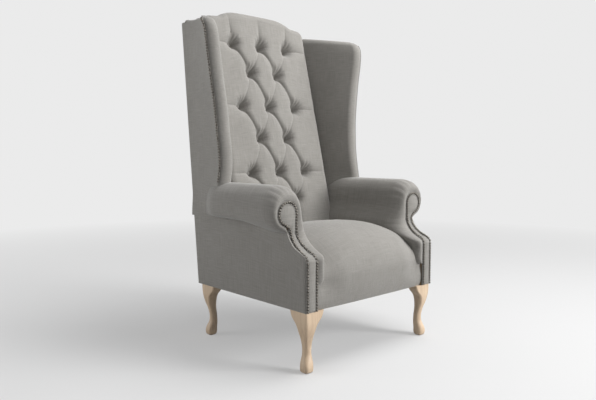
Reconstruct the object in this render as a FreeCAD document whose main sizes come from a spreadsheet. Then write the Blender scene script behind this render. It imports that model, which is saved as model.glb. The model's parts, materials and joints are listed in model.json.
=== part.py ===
import FreeCAD, Part

import math
import os
import re

from FreeCAD import Vector

# Upholstered wingback armchair with scroll arms, a diamond-buttoned back and cabriole legs.
# Seen from the front, X runs to the right, Y away from the viewer and Z up. Left and right in
# the pieces' names are as seen from the front.
# The pieces are laid out from the front plane of the arm facings (Y = 0) and the floor (Z = 0),
# and each one's Placement then brings the origin under the middle of the chair.

doc = FreeCAD.newDocument("WingbackArmchair")
sheet = doc.addObject("Spreadsheet::Sheet", "Sizes")

# Driving dimensions, in millimetres and degrees.
DIMENSIONS = [
    ("front_to_origin", 355.2, "front plane of the arm facings to the middle of the chair"),
    ("leg_height", 203, "floor to the underside of the seat frame"),
    ("base_width", 664, "across the outside arm panels"),
    ("base_depth", 617, "front plane to the outside back, at the underside"),
    ("outside_rake", 5.4, "lean of the outside back, in degrees"),
    ("inside_rake", 13.8, "lean of the button plane, in degrees"),
    ("cover_board", 7, "thickness of a covered outside panel"),
    ("facing_board", 8, "thickness of the covered arm facing"),
    ("soft_gap", 0.3, "clearance between soft pieces"),
    ("rail_thickness", 28, "thickness of the beech rails and posts"),
    ("rail_height", 90, "height of the seat rails"),
    ("post_depth", 45, "depth of the back posts"),
    ("post_top", 1200, "top of the back posts above the floor"),
    ("front_apron", 14, "padding in front of the front rail"),
    ("block_leg", 70, "length of a corner block along each rail"),
    ("block_height", 60, "height of a corner block"),
    ("bolt_radius", 3, "leg bolt"),
    ("bolt_inset", 20, "leg bolt to the leg's middle, along the diagonal"),
    ("bolt_depth", 30, "leg bolt inside the leg"),
    ("front_leg_inset", 35, "middle of a front leg's ankle inside the base's side"),
    ("front_leg_setback", 32.5, "middle of a front leg's ankle, behind the front plane"),
    ("rear_leg_inset", 39, "middle of a rear leg's ankle inside the base's side"),
    ("rear_leg_lead", 46, "middle of a rear leg's ankle ahead of the base's back"),
    ("strap_width", 50, "webbing strap"),
    ("seat_strap_pitch", 100, "between the lengthwise straps of the seat"),
    ("seat_cross_pitch", 110, "between the cross straps of the seat"),
    ("back_strap_pitch", 120, "between the upright straps of the back"),
    ("back_cross_pitch", 140, "between the cross straps of the back"),
    ("strap_thickness", 1.5, "webbing strap"),
    ("cloth_thickness", 1.2, "dust cover and platform cloth"),
    ("facing_width", 51, "arm facing below the shoulder"),
    ("neck_width", 38, "arm facing at the neck"),
    ("neck_inset", 5, "outer edge of the neck inside the base's side"),
    ("shoulder_height", 380, "where the facing starts to sweep back"),
    ("sweep_depth", 88, "how far the facing sweeps back"),
    ("sweep_top", 450, "where the facing stands upright again"),
    ("scroll_inset", 1, "middle of the scroll inside the base's side"),
    ("scroll_height", 515, "middle of the scroll above the floor"),
    ("scroll_radius", 42, "radius of the scroll facing"),
    ("roll_middle", 528, "middle of the arm roll above the floor"),
    ("roll_outward", 70, "arm roll outside its middle"),
    ("roll_inward", 69, "arm roll inside its middle"),
    ("roll_rise", 78, "arm roll above its middle"),
    ("roll_drop", 50, "arm roll below its middle"),
    ("arm_width", 106, "arm beside the seat, from the base's side to its inside"),
    ("arm_lip_bottom", 268, "lower tip of the arm's rolled front edge"),
    ("seat_crown", 458, "highest point of the seat"),
    ("seat_side", 419, "seat along the arms"),
    ("seat_edge_drop", 29, "hidden edge of the seat under the arms, below its side"),
    ("seat_bulge", 10, "front of the seat ahead of the arm facings"),
    ("back_inset", 76, "side of the tufted back inside the base's side"),
    ("crown_depth", 38, "crown of the tufts ahead of the button plane"),
    ("button_backing", 6.1, "padding behind the buttons of the top row"),
    ("button_pitch", 141, "between the buttons of a row"),
    ("button_radius", 11, "covered button"),
    ("button_thickness", 8, "covered button"),
    ("row_first", 1157, "top row of buttons above the floor"),
    ("row_second", 1042, "second row"),
    ("row_third", 904, "third row"),
    ("row_fourth", 775, "fourth row"),
    ("row_fifth", 637, "fifth row"),
    ("row_sixth", 527, "lowest row"),
    ("back_foot", 440, "lower edge of the tufts, where the back meets the seat"),
    ("crest_join", 1205, "where the back starts to roll over its top rail"),
    ("crest_rise", 41, "top of the crest at the wings above where the back starts to roll"),
    ("crest_arch", 41, "top of the crest in the middle above its ends"),
    ("crest_thickness", 76, "crest roll from front to back"),
    ("wing_foot", 560, "lowest level of the wing inside the arm's roll"),
    ("wing_thickness", 48, "rolled front edge of the wing"),
    ("wing_top", 1206, "top of the wing at its front"),
    ("wing_climb", 46, "rise of the wing's top from its front to the back"),
    ("wing_flare", 130, "depth over which the wing's outer face curves outwards"),
    ("upright_width", 21, "wing upright, sideways"),
    ("wing_rail_depth", 40, "wing rail, from top to bottom"),
]

for row, (alias, value, note) in enumerate(DIMENSIONS, start=1):
    sheet.set("A" + str(row), alias)
    sheet.set("B" + str(row), str(value))
    sheet.set("C" + str(row), note)
    sheet.setAlias("B" + str(row), alias)
doc.recompute()

ALIASES = [name for name, _, _ in DIMENSIONS]
ALIAS_PATTERN = re.compile(r"\b(" + "|".join(sorted(ALIASES, key=len, reverse=True)) + r")\b")


class Sizes:
    """Plain-number view of the sheet, for shapes that formulas alone can't hold."""


size = Sizes()
for name in ALIASES:
    setattr(size, name, float(sheet.get(name)))

PIECES = []


def bind(piece, target, formula):
    """Ties a property to a formula written with the sheet's names."""
    piece.setExpression(target, ALIAS_PATTERN.sub(r"Sizes.\1", formula))


def register(piece, label):
    piece.Label = label
    PIECES.append(piece)
    return piece


def box(label, length, width, height, x, y, z, tilt=None):
    """A straight rail or strap; its place is the low corner, and tilt leans it to the back."""
    piece = doc.addObject("Part::Box", label)
    bind(piece, "Length", length)
    bind(piece, "Width", width)
    bind(piece, "Height", height)
    if tilt is not None:
        piece.Placement.Rotation = FreeCAD.Rotation(Vector(1, 0, 0), -1)
        bind(piece, "Placement.Rotation.Angle", "-(" + tilt + ") * 1deg")
    bind(piece, "Placement.Base.x", x)
    bind(piece, "Placement.Base.y", y + " - front_to_origin")
    bind(piece, "Placement.Base.z", z)
    return register(piece, label)


def shaped(label, shape):
    """A piece whose form comes from lofts, sweeps or cuts, laid out from the front plane."""
    piece = doc.addObject("Part::Feature", label)
    piece.Shape = shape
    bind(piece, "Placement.Base.y", "-front_to_origin")
    return register(piece, label)


def side_name(side):
    return "right" if side > 0 else "left"


def mirrored(shape, side):
    """Shapes are made for the +X side; the other side is their mirror image."""
    if side > 0:
        return shape.copy()
    return shape.mirror(Vector(0, 0, 0), Vector(1, 0, 0))


def arc(first, through, last):
    return Part.Arc(first, through, last).toShape()


def line(first, last):
    return Part.LineSegment(first, last).toShape()


def polyline(points):
    return [line(first, last) for first, last in zip(points, points[1:])]


def bend(first, through, last, sides):
    """Points along an arc that is drawn with flat sides, without its last point."""
    points = arc(first, through, last).discretize(sides + 1)
    if (points[0] - first).Length > (points[-1] - first).Length:
        points = points[::-1]
    return [first] + points[1:-1]


def faceted_ring(middle, reach, along_u, along_v, facets):
    """A closed outline given by how far its sides stand off in fixed directions.

    The sides keep their directions from section to section, so a loft through such
    outlines is made of flat strips.
    """
    step = 2 * math.pi / facets
    points = []
    for index in range(facets):
        here = index * step
        beyond = here + step
        u = (reach(here) * math.sin(beyond) - reach(beyond) * math.sin(here)) / math.sin(step)
        v = (reach(beyond) * math.cos(here) - reach(here) * math.cos(beyond)) / math.sin(step)
        points.append(middle + along_u * u + along_v * v)
    return points


def flat_face(corners):
    return Part.Face(Part.makePolygon(corners + corners[:1]))


def strip_faces(ring, beyond):
    """Flat faces between two rings of points, a twisted one folded along its shorter diagonal."""
    faces = []
    for index in range(len(ring)):
        a, b, c, d = ring[index - 1], ring[index], beyond[index], beyond[index - 1]
        lift = (b - a).cross(c - a).dot(d - a)
        flat = abs(lift) < 1e-6 * (c - a).Length ** 3
        if flat:
            faces.append(flat_face([a, b, c, d]))
        elif (c - a).Length < (d - b).Length:
            faces += [flat_face([a, b, c]), flat_face([a, c, d])]
        else:
            faces += [flat_face([a, b, d]), flat_face([b, c, d])]
    return faces


def solid_loft(rings):
    """A loft through closed outlines of straight sides, with a flat cap at each end."""
    faces = [flat_face(rings[0]), flat_face(rings[-1])]
    for ring, beyond in zip(rings, rings[1:]):
        faces += strip_faces(ring, beyond)
    solid = Part.Solid(Part.Shell(faces))
    if solid.Volume < 0:
        solid.reverse()
    return solid


def block(x0, x1, y0, y1, z0, z1):
    return Part.makeBox(x1 - x0, y1 - y0, z1 - z0, Vector(x0, y0, z0))


def outside_back_y(height):
    """Outer face of the outside back at a height."""
    return size.base_depth + (height - size.leg_height) * math.tan(math.radians(size.outside_rake))


half_base = size.base_width / 2
half_back = half_base - size.back_inset
arm_inside = half_base - size.arm_width
scroll_side = half_base - size.scroll_inset
frame_side = half_base - size.cover_board
frame_inner = frame_side - size.rail_thickness
rail_top = size.leg_height + size.rail_height
stump_front = size.facing_board + size.soft_gap
stump_back = stump_front + size.rail_thickness
front_rail_back = size.front_apron + size.rail_thickness


def frame_back_y(height):
    """Back face of the posts, against the outside back's board."""
    return outside_back_y(height) - size.cover_board


def frame_front_y(height):
    """Front face of the back posts."""
    return frame_back_y(height) - size.post_depth


def back_rail_front_y(height):
    """Front face of the rails between the posts."""
    return frame_back_y(height) - size.rail_thickness


pad_rear_lead = 2 * size.strap_thickness + size.soft_gap


def button_plane_y(height):
    """Plane that the buttons are drawn back to: near the webbing at the top row, leaning more."""
    top_row_y = back_rail_front_y(size.row_first) - pad_rear_lead - size.button_backing
    return top_row_y + (height - size.row_first) * math.tan(math.radians(size.inside_rake))


# Cabriole legs
# A section is a kite of four corners, rounded: the outer one carries the knee's edge.
# Rows: height, outer reach, inner reach, half width, setback of the side corners, rounding.
LEG_SECTIONS = [
    (0, 23, 5, 14, 9.0, 5),
    (5, 29, 10, 20, 9.5, 10),
    (24, 31, 13, 22, 9.0, 13),
    (43, 23, 14.5, 18.5, 4.5, 14),
    (57, 15, 15, 15, 0.0, 14),
    (82, 15.5, 13.5, 15.2, 1.0, 12),
    (107, 22, 10.5, 19, 5.0, 9),
    (136, 34, 9.5, 27, 10.0, 6),
    (161, 40.5, 17, 36, 7.0, 4),
    (181, 42.5, 32, 49, -6.0, 3),
    (203, 43, 36, 55, -12.5, 2.5),
]
LEG_FACETS = 20


def leg_section(height, outer, inner, half, setback, rounding):
    corners = [
        (outer - rounding, 0.0),
        (setback, half - rounding),
        (rounding - inner, 0.0),
        (setback, rounding - half),
    ]

    def reach(heading):
        return rounding + max(x * math.cos(heading) + y * math.sin(heading) for x, y in corners)

    return faceted_ring(Vector(0, 0, height), reach, Vector(1, 0, 0), Vector(0, 1, 0), LEG_FACETS)


def leg_shape(height_scale):
    """A leg about its ankle's axis, with its knee towards +X."""
    return solid_loft([leg_section(height * height_scale, *rest) for height, *rest in LEG_SECTIONS])


front_leg_side = half_base - size.front_leg_inset
rear_leg_side = half_base - size.rear_leg_inset
rear_leg_setback = size.base_depth - size.rear_leg_lead
LEG_PLACES = [
    ("front", "right", front_leg_side, size.front_leg_setback, -45),
    ("front", "left", -front_leg_side, size.front_leg_setback, -135),
    ("back", "right", rear_leg_side, rear_leg_setback, 45),
    ("back", "left", -rear_leg_side, rear_leg_setback, 135),
]

bolt_bottom = size.leg_height - size.bolt_depth
bolt_top = size.leg_height + size.block_height
bolts = []
bolt_holes = []
for _, _, x, y, heading in LEG_PLACES:
    direction = math.radians(heading)
    bolt_x = x - size.bolt_inset * math.cos(direction)
    bolt_y = y - size.bolt_inset * math.sin(direction)
    foot = Vector(bolt_x, bolt_y, bolt_bottom)
    bolts.append(Part.makeCylinder(size.bolt_radius, bolt_top - bolt_bottom, foot))
    hole_radius = size.bolt_radius + size.soft_gap
    bolt_holes.append(Part.makeCylinder(hole_radius, bolt_top - bolt_bottom + 1, foot))

leg_form = leg_shape(size.leg_height / LEG_SECTIONS[-1][0])
for (end, side, x, y, heading), hole in zip(LEG_PLACES, bolt_holes):
    leg = leg_form.copy()
    leg.rotate(Vector(0, 0, 0), Vector(0, 0, 1), heading)
    leg.translate(Vector(x, y, 0))
    shaped("leg_" + end + "_" + side, leg.cut(hole))
shaped("leg_bolts", Part.makeCompound(bolts))

# Corner blocks inside the seat frame
CORNER_INNER_Y = {"front": front_rail_back, "back": frame_back_y(size.leg_height) - size.rail_thickness}
for (end, side, _, _, _), hole in zip(LEG_PLACES, bolt_holes):
    sign = 1 if side == "right" else -1
    inward = 1 if end == "front" else -1
    corner_y = CORNER_INNER_Y[end]
    corner = Vector(sign * frame_inner, corner_y, size.leg_height)
    along_front = Vector(sign * (frame_inner - size.block_leg), corner_y, size.leg_height)
    along_side = Vector(sign * frame_inner, corner_y + inward * size.block_leg, size.leg_height)
    face = Part.Face(Part.makePolygon([corner, along_front, along_side, corner]))
    corner_block = face.extrude(Vector(0, 0, size.block_height)).cut(hole)
    shaped("corner_block_" + end + "_" + side, corner_block)

# Arm facing outline, scroll and sweep
facing_inner = half_base - size.facing_width
neck_outer = half_base - size.neck_inset
neck_inner = neck_outer - size.neck_width


def facing_outline(grow=0.0):
    """Front view of the arm facing: a straight leg, a drawn-in neck and a scroll."""
    radius = size.scroll_radius + grow
    middle_x = scroll_side
    middle_z = size.scroll_height
    inner = facing_inner - grow
    outer = half_base + grow
    waist_in = neck_inner - grow
    waist_out = neck_outer + grow
    turn = math.radians(50)
    left = Vector(middle_x - radius, 0, middle_z)
    top = Vector(middle_x, 0, middle_z + radius)
    right = Vector(middle_x + radius, 0, middle_z)
    low_via = Vector(middle_x + radius * math.cos(turn / 2), 0, middle_z - radius * math.sin(turn / 2))
    low = Vector(middle_x + radius * math.cos(turn), 0, middle_z - radius * math.sin(turn))
    throat = Vector(waist_out + 9, 0, middle_z - radius + 4)
    throat_via = Vector(waist_out + 2.5, 0, middle_z - radius - 4)
    neck_top = Vector(waist_out, 0, middle_z - radius - 16)
    neck_low = Vector(waist_out, 0, size.sweep_top - 24)
    outer_shoulder = Vector(outer, 0, size.shoulder_height + 12)
    outer_foot = Vector(outer, 0, size.leg_height)
    inner_foot = Vector(inner, 0, size.leg_height)
    inner_shoulder = Vector(inner, 0, size.shoulder_height + 12)
    inner_neck = Vector(waist_in, 0, size.sweep_top - 24)
    edges = [
        arc(left, top, right),
        arc(right, low_via, low),
        line(low, throat),
        arc(throat, throat_via, neck_top),
    ]
    edges += polyline([neck_top, neck_low, outer_shoulder, outer_foot, inner_foot, inner_shoulder, inner_neck, left])
    return Part.Face(Part.Wire(edges))


SWEEP_VIA = (50, 22)


def sweep_edges(offset, top):
    """Side view of the facing's front, moved back by an offset: upright, swept back, upright."""
    via_y, via_rise = SWEEP_VIA
    foot = Vector(0, offset, size.leg_height)
    start = Vector(0, offset, size.shoulder_height)
    via = Vector(0, offset + via_y, size.shoulder_height + via_rise)
    end = Vector(0, offset + size.sweep_depth, size.sweep_top)
    head = Vector(0, offset + size.sweep_depth, top)
    return [line(foot, start), arc(start, via, end), line(end, head)]


scroll_top = size.scroll_height + size.scroll_radius
SIDE_TOP = scroll_top + 40


def sweep_band(front, back):
    """Solid between two copies of the facing's side view, as wide as the chair's side."""
    near = sweep_edges(front, SIDE_TOP)
    far = sweep_edges(back, SIDE_TOP)
    bottom = line(Vector(0, front, size.leg_height), Vector(0, back, size.leg_height))
    top = line(Vector(0, front + size.sweep_depth, SIDE_TOP), Vector(0, back + size.sweep_depth, SIDE_TOP))
    face = Part.Face(Part.Wire(Part.__sortEdges__(near + [top] + far + [bottom])))
    face.translate(Vector(facing_inner - size.facing_width, 0, 0))
    return face.extrude(Vector(4 * size.facing_width, 0, 0))


facing_depth = size.sweep_depth + stump_back + 2
facing_prism = facing_outline().extrude(Vector(0, facing_depth, 0))
stump_prism = facing_outline(-2.0).extrude(Vector(0, facing_depth, 0))
facing_shape = facing_prism.common(sweep_band(0, size.facing_board))
stump_shape = stump_prism.common(sweep_band(stump_front, stump_back))
stump_shape = stump_shape.cut(block(frame_side, half_base, 0, facing_depth, size.leg_height, size.sweep_top))
for side in (1, -1):
    shaped("arm_facing_" + side_name(side), mirrored(facing_shape, side))
    shaped("arm_stump_" + side_name(side), mirrored(stump_shape, side))

# Seat rails
box("seat_rail_front", "2 * (base_width / 2 - facing_width) - 2 * soft_gap", "rail_thickness", "rail_height",
    "-(base_width / 2 - facing_width - soft_gap)", "front_apron", "leg_height")
box("seat_rail_back", "base_width - 2 * cover_board - 2 * rail_thickness", "rail_thickness", "rail_height",
    "-(base_width / 2 - cover_board - rail_thickness)", "base_depth - cover_board - rail_thickness", "leg_height")
rail_length = "base_depth - cover_board - post_depth - facing_board - soft_gap - rail_thickness"
for side in (1, -1):
    rail_x = "base_width / 2 - cover_board - rail_thickness"
    if side < 0:
        rail_x = "-(base_width / 2 - cover_board)"
    box("seat_rail_" + side_name(side), "rail_thickness", rail_length, "rail_height",
        rail_x, "facing_board + soft_gap + rail_thickness", "leg_height")

# Posts and rails of the back
post_y = "base_depth - cover_board - post_depth * cos(outside_rake * 1deg)"
post_z = "leg_height + post_depth * sin(outside_rake * 1deg)"
for side in (1, -1):
    post_x = "base_width / 2 - cover_board - rail_thickness"
    if side < 0:
        post_x = "-(base_width / 2 - cover_board)"
    post_length = "(post_top - leg_height) / cos(outside_rake * 1deg) - post_depth * tan(outside_rake * 1deg)"
    box("back_post_" + side_name(side), "rail_thickness", "post_depth", post_length,
        post_x, post_y, post_z, tilt="outside_rake")


def back_rail(label, height, depth):
    """A rail between the posts, flush with their back, leaning with them."""
    lean = "(" + height + " - leg_height) * tan(outside_rake * 1deg)"
    box(label, "base_width - 2 * cover_board - 2 * rail_thickness", "rail_thickness", depth,
        "-(base_width / 2 - cover_board - rail_thickness)",
        "base_depth - cover_board - rail_thickness * cos(outside_rake * 1deg) + " + lean,
        height + " + rail_thickness * sin(outside_rake * 1deg)", tilt="outside_rake")


back_rail("back_rail_low", "back_foot - 60", "55")
back_rail("back_rail_middle", "row_fifth + 60", "45")
back_rail("back_rail_top", "post_top - 65", "58")


# Webbing of the back, upright straps tacked to the rails and cross straps laid over them
back_low = size.back_foot - 50
back_high = size.post_top - 20


def leaning_strap(x0, x1, z0, z1, lead):
    """A flat strap in front of the back rails."""
    near = lead + size.strap_thickness
    outline = [
        Vector(x0, back_rail_front_y(z0) - near, z0),
        Vector(x0, back_rail_front_y(z0) - lead, z0),
        Vector(x0, back_rail_front_y(z1) - lead, z1),
        Vector(x0, back_rail_front_y(z1) - near, z1),
    ]
    return Part.Face(Part.makePolygon(outline + outline[:1])).extrude(Vector(x1 - x0, 0, 0))


half_strap = size.strap_width / 2
back_straps = []
for index in range(4):
    middle = (index - 1.5) * size.back_strap_pitch
    back_straps.append(leaning_strap(middle - half_strap, middle + half_strap, back_low, back_high, 0))
    height = size.back_foot + size.back_strap_pitch + index * size.back_cross_pitch
    back_straps.append(leaning_strap(-frame_inner, frame_inner, height, height + size.strap_width,
                                     size.strap_thickness))
shaped("back_webbing", Part.makeCompound(back_straps))

# Webbing and cloth under the seat
seat_straps = []
straps_top = rail_top + size.strap_thickness
cloth_bottom = straps_top + size.strap_thickness
seat_bottom = cloth_bottom + size.cloth_thickness
strap_back = size.base_depth - size.cover_board - 4
for index in range(5):
    middle = (index - 2) * size.seat_strap_pitch
    seat_straps.append(block(middle - half_strap, middle + half_strap, size.front_apron + 4, strap_back,
                             rail_top, straps_top))
for index in range(4):
    front = 2 * size.strap_width + index * size.seat_cross_pitch
    seat_straps.append(block(-(frame_side - 4), frame_side - 4, front, front + size.strap_width,
                             straps_top, cloth_bottom))
shaped("seat_webbing", Part.makeCompound(seat_straps))
shaped("platform_cloth", block(-frame_inner, frame_inner, front_rail_back - 20, strap_back - 50,
                               cloth_bottom, seat_bottom))

# Dust cover under the frame, cut out round the legs
cover_bottom = size.leg_height - size.cloth_thickness
dust_cover = block(-frame_side + 6, frame_side - 6, size.facing_board + 4, size.base_depth - 14,
                   cover_bottom, size.leg_height)
leg_reach = 92
for sign in (1, -1):
    for near, far in ((0, leg_reach), (size.base_depth - leg_reach - 16, size.base_depth)):
        x_edges = sorted((sign * (half_base - leg_reach), sign * half_base))
        dust_cover = dust_cover.cut(block(x_edges[0], x_edges[1], near, far, cover_bottom - 1, size.leg_height + 1))
shaped("dust_cover", dust_cover)

# Arm rails
arm_rail_low_z = size.scroll_height - 15
arm_rail_top = size.scroll_height + 20
arm_rail_front = size.sweep_depth + stump_back
arm_rail_back = frame_front_y(arm_rail_low_z)
for side in (1, -1):
    arm_rail_x = "base_width / 2 - cover_board - rail_thickness"
    if side < 0:
        arm_rail_x = "-(base_width / 2 - cover_board)"
    front_formula = "sweep_depth + facing_board + soft_gap + rail_thickness"
    reach_formula = ("base_depth - cover_board - post_depth"
                     " + (scroll_height - 15 - leg_height) * tan(outside_rake * 1deg)")
    box("arm_rail_" + side_name(side), "rail_thickness", reach_formula + " - (" + front_formula + ")", "35",
        arm_rail_x, front_formula, "scroll_height - 15")
    tack_formula = "facing_board + soft_gap + rail_thickness"
    box("arm_tack_rail_" + side_name(side), "rail_thickness", "base_depth - cover_board - post_depth"
        " + (shoulder_height - 60 - leg_height) * tan(outside_rake * 1deg) - (" + tack_formula + ")",
        "28", arm_rail_x, tack_formula, "shoulder_height - 60")


# Arm pads: a wall beside the seat with a rolled front edge, and a roll over the arm rail
def sweep_y(height):
    """Front of the facing at a height, read off the same arc as its side view."""
    start_z = size.shoulder_height
    if height <= start_z:
        return 0.0
    if height >= size.sweep_top:
        return size.sweep_depth
    edge = sweep_edges(0, SIDE_TOP)[1]
    level = Part.makeLine(Vector(0, -200, height), Vector(0, 400, height))
    return edge.distToShape(level)[1][0][0].y


def arm_inner_x(height):
    """Inside of the arm wall: upright beside the seat, then leaning out into the roll."""
    lean_start = size.seat_side + 10
    if height <= lean_start:
        return arm_inside
    reach = scroll_side - size.roll_inward - arm_inside
    return arm_inside + reach * math.sin(min(1.0, (height - lean_start) / 100) * math.pi / 2)


LIP_LEAD = 4
ARM_WALL_HEIGHTS = [0, 12, 22, 36, 52, 70, 100, 165]


def wall_section(height, grow):
    inner = arm_inner_x(height) - grow
    front = sweep_y(height) - LIP_LEAD - grow
    back = frame_front_y(size.leg_height) - size.soft_gap + grow
    outer = frame_inner
    lip_outer = Vector(outer, front + 6, height)
    lip_front = Vector(inner + 42, front, height)
    lip_via = Vector(inner + 27, front + 4, height)
    lip_side = Vector(inner + 20, front + 16, height)
    wall_front = Vector(inner, front + 62, height)
    front_roll = bend(lip_front, lip_via, lip_side, 3)
    rear_corners = [Vector(inner, back, height), Vector(outer, back, height)]
    return [lip_outer] + front_roll + [lip_side, wall_front] + rear_corners


def lip_section(height, inner, grow):
    """The rolled front edge below the seat's side, narrowing to a tip beside the facing."""
    front = -LIP_LEAD + 1 - grow
    back = size.front_apron - size.soft_gap
    outer = facing_inner
    points = [Vector(outer, back, height), Vector(outer, front + 1, height)]
    start = Vector(inner - grow + (outer - inner) * 0.55, front, height)
    via = Vector(inner - grow + (outer - inner) * 0.18, front + 4, height)
    end = Vector(inner - grow, front + 11, height)
    return points + bend(start, via, end, 3) + [end, Vector(inner - grow, back, height)]


# Rows: behind the scroll's plane, share of the full roll, how far the roll hangs below its middle.
ROLL_STATIONS = [
    (0, 0.0, 46, 1.0),
    (1.5, 0.3, 56, 1.0),
    (6, 0.57, 68, 1.0),
    (14, 0.8, 78, 1.0),
    (32, 1.0, 82, 1.0),
    (60, 1.0, 78, 1.0),
    (130, 1.0, 64, 1.0),
    (190, 1.0, 52, 1.0),
    (290, 1.0, 50, 1.0),
    (400, 1.0, 50, 0.85),
]
ROLL_FACETS = 24


def roll_section(y, share, drop, spread, grow):
    ring = size.scroll_radius + 4
    middle = Vector(scroll_side, y, size.scroll_height + (size.roll_middle - size.scroll_height) * share)
    outward = ring + (size.roll_outward * spread - ring) * share + grow
    inward = ring + (size.roll_inward - ring) * share + grow
    rise = ring + (size.roll_rise * (0.6 + 0.4 * spread) - ring) * share + grow
    fall = drop + grow

    def reach(heading):
        sideways = outward if math.cos(heading) > 0 else inward
        upwards = rise if math.sin(heading) > 0 else fall
        return math.hypot(sideways * math.cos(heading), upwards * math.sin(heading))

    return faceted_ring(middle, reach, Vector(1, 0, 0), Vector(0, 0, 1), ROLL_FACETS)


def arm_form(grow):
    stations = [(size.sweep_depth + lead, share, drop, spread) for lead, share, drop, spread in ROLL_STATIONS]
    stations.append((frame_back_y(size.roll_middle) - size.soft_gap, 1.0, size.roll_drop, 0.45))
    roll = solid_loft([roll_section(*station, grow) for station in stations])
    low = seat_bottom + 4
    heights = [low, size.shoulder_height - 1]
    heights += [size.shoulder_height + rise for rise in ARM_WALL_HEIGHTS[1:]]
    wall = solid_loft([wall_section(height, grow) for height in heights])
    tip = size.arm_lip_bottom
    lip_rows = [(tip, facing_inner - 4), (tip + 14, facing_inner - 13), (low, arm_inner_x(low) + 22)]
    lip = solid_loft([lip_section(height, inner, grow) for height, inner in lip_rows])
    return wall.fuse([roll, lip]).removeSplitter()


arm_cutter = facing_outline(size.soft_gap).extrude(Vector(0, arm_rail_front + 60, 0))
arm_cutter.translate(Vector(0, -60, 0))

# Outside arm panels, up to the seam below the roll
ROLL_SEAM_DROP = 1.5


def seam_points():
    """Side view of the seam between the roll and the outside arm."""
    low = size.roll_middle - 84
    high = size.roll_middle - size.roll_drop - ROLL_SEAM_DROP
    return [
        Vector(frame_side, size.sweep_depth, low - 1),
        Vector(frame_side, size.sweep_depth + 60, low + 5),
        Vector(frame_side, size.sweep_depth + 130, low + 18),
        Vector(frame_side, size.sweep_depth + 260, high),
        Vector(frame_side, frame_back_y(high), high - 6),
    ]


seam = seam_points()
arm_panel_edges = [arc(seam[0], seam[1], seam[2]), arc(seam[2], seam[3], seam[4])]
panel_foot_front = Vector(frame_side, -10, size.leg_height)
panel_foot_back = Vector(frame_side, frame_back_y(size.leg_height), size.leg_height)
panel_front_top = Vector(frame_side, -10, seam[0].z)
arm_panel_edges += polyline([seam[4], panel_foot_back, panel_foot_front, panel_front_top, seam[0]])
arm_panel = Part.Face(Part.Wire(arm_panel_edges)).extrude(Vector(size.cover_board, 0, 0))
arm_panel = arm_panel.common(sweep_band(stump_front, size.base_depth + 200))

# Wings
# Rows: share of the height from the wing's foot to its top, middle of the rolled front edge
# outside the base's side and ahead of the base's back, and how far the edge is drawn in there.
# The top levels lean: each is higher at the back by a share of the wing's climb.
WING_SECTIONS = [
    (0.0, 2, 193, 0, 0.0),
    (0.248, 1, 185, 0, 0.0),
    (0.434, 7, 176, 0, 0.0),
    (0.62, 20, 171, 0, 0.0),
    (0.805, 38, 171, 0, 0.0),
    (0.898, 46, 166, 0, 0.35),
    (0.944, 47, 153, 0, 0.7),
    (0.975, 47, 131, 7, 0.9),
    (1.0, 47, 101, 16, 1.0),
]
wing_radius = size.wing_thickness / 2
wing_height = size.wing_top - size.wing_foot


def wing_level(share, outside, lead, inset, climb):
    """Height, edge's place sideways and in depth, inset and climb of one level of the wing."""
    height = size.wing_foot + share * wing_height
    return height, half_base + outside, size.base_depth - lead, inset, climb * size.wing_climb


WING_LEVELS = [wing_level(*row) for row in WING_SECTIONS]


def wing_edge(height):
    """Middle of the wing's rolled front edge at a height."""
    for low, high in zip(WING_LEVELS, WING_LEVELS[1:]):
        if height <= high[0]:
            share = max(0.0, (height - low[0]) / (high[0] - low[0]))
            return low[1] + (high[1] - low[1]) * share, low[2] + (high[2] - low[2]) * share
    return WING_LEVELS[-1][1:3]


def wing_outer_points(height, edge_x, edge_y):
    """Outer face of the wing, flat along the post and flaring out to the nail line."""
    flare_start = Vector(half_base, edge_y + size.wing_flare, height)
    middle_x = half_base + (edge_x + wing_radius - half_base) * 0.36
    flare_via = Vector(middle_x, edge_y + size.wing_flare * 0.446, height)
    nail_line = Vector(edge_x + wing_radius, edge_y + 6, height)
    return flare_start, flare_via, nail_line


def climbing(points, edge_y, climb):
    """Leans a level ring of the wing, so that it rises from its front edge to the back."""
    height = points[0].z
    depth = frame_back_y(height + climb) - edge_y
    return [Vector(point.x, point.y, height + climb * (point.y - edge_y) / depth) for point in points]


def wing_pad_section(height, edge_x, edge_y, inset, climb):
    radius = wing_radius - inset
    back_front = frame_front_y(height + climb)
    flare_start, flare_via, nail_line = wing_outer_points(height, edge_x, edge_y)
    board = Vector(-size.cover_board - inset, 0, 0)
    side_back = Vector(frame_side - inset, back_front, height)
    side_flare = flare_start + board
    nail_inner = nail_line + board
    nail_outer = Vector(edge_x + radius, edge_y + 5, height)
    tip_via = Vector(edge_x + radius * 0.62, edge_y - radius * 0.78, height)
    tip = Vector(edge_x - radius * 0.1, edge_y - radius, height)
    inner_via = Vector(edge_x - radius * 0.78, edge_y - radius * 0.62, height)
    inner = Vector(edge_x - radius, edge_y + 4, height)
    junction_y = min(button_plane_y(height) + 12, back_front - 6)
    junction = Vector(half_back + size.soft_gap + inset * 0.5, junction_y, height)
    swell = (inner + junction) / 2 + Vector(-5 + inset * 0.5, -3, 0)
    back_inner = Vector(half_back + size.soft_gap + inset * 0.5, back_front, height)
    points = [side_back]
    points += bend(side_flare, flare_via + board, nail_inner, 3) + [nail_inner]
    points += bend(nail_outer, tip_via, tip, 3)
    points += bend(tip, inner_via, inner, 3)
    points += bend(inner, swell, junction, 2)
    return climbing(points + [junction, back_inner], edge_y, climb)


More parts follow.
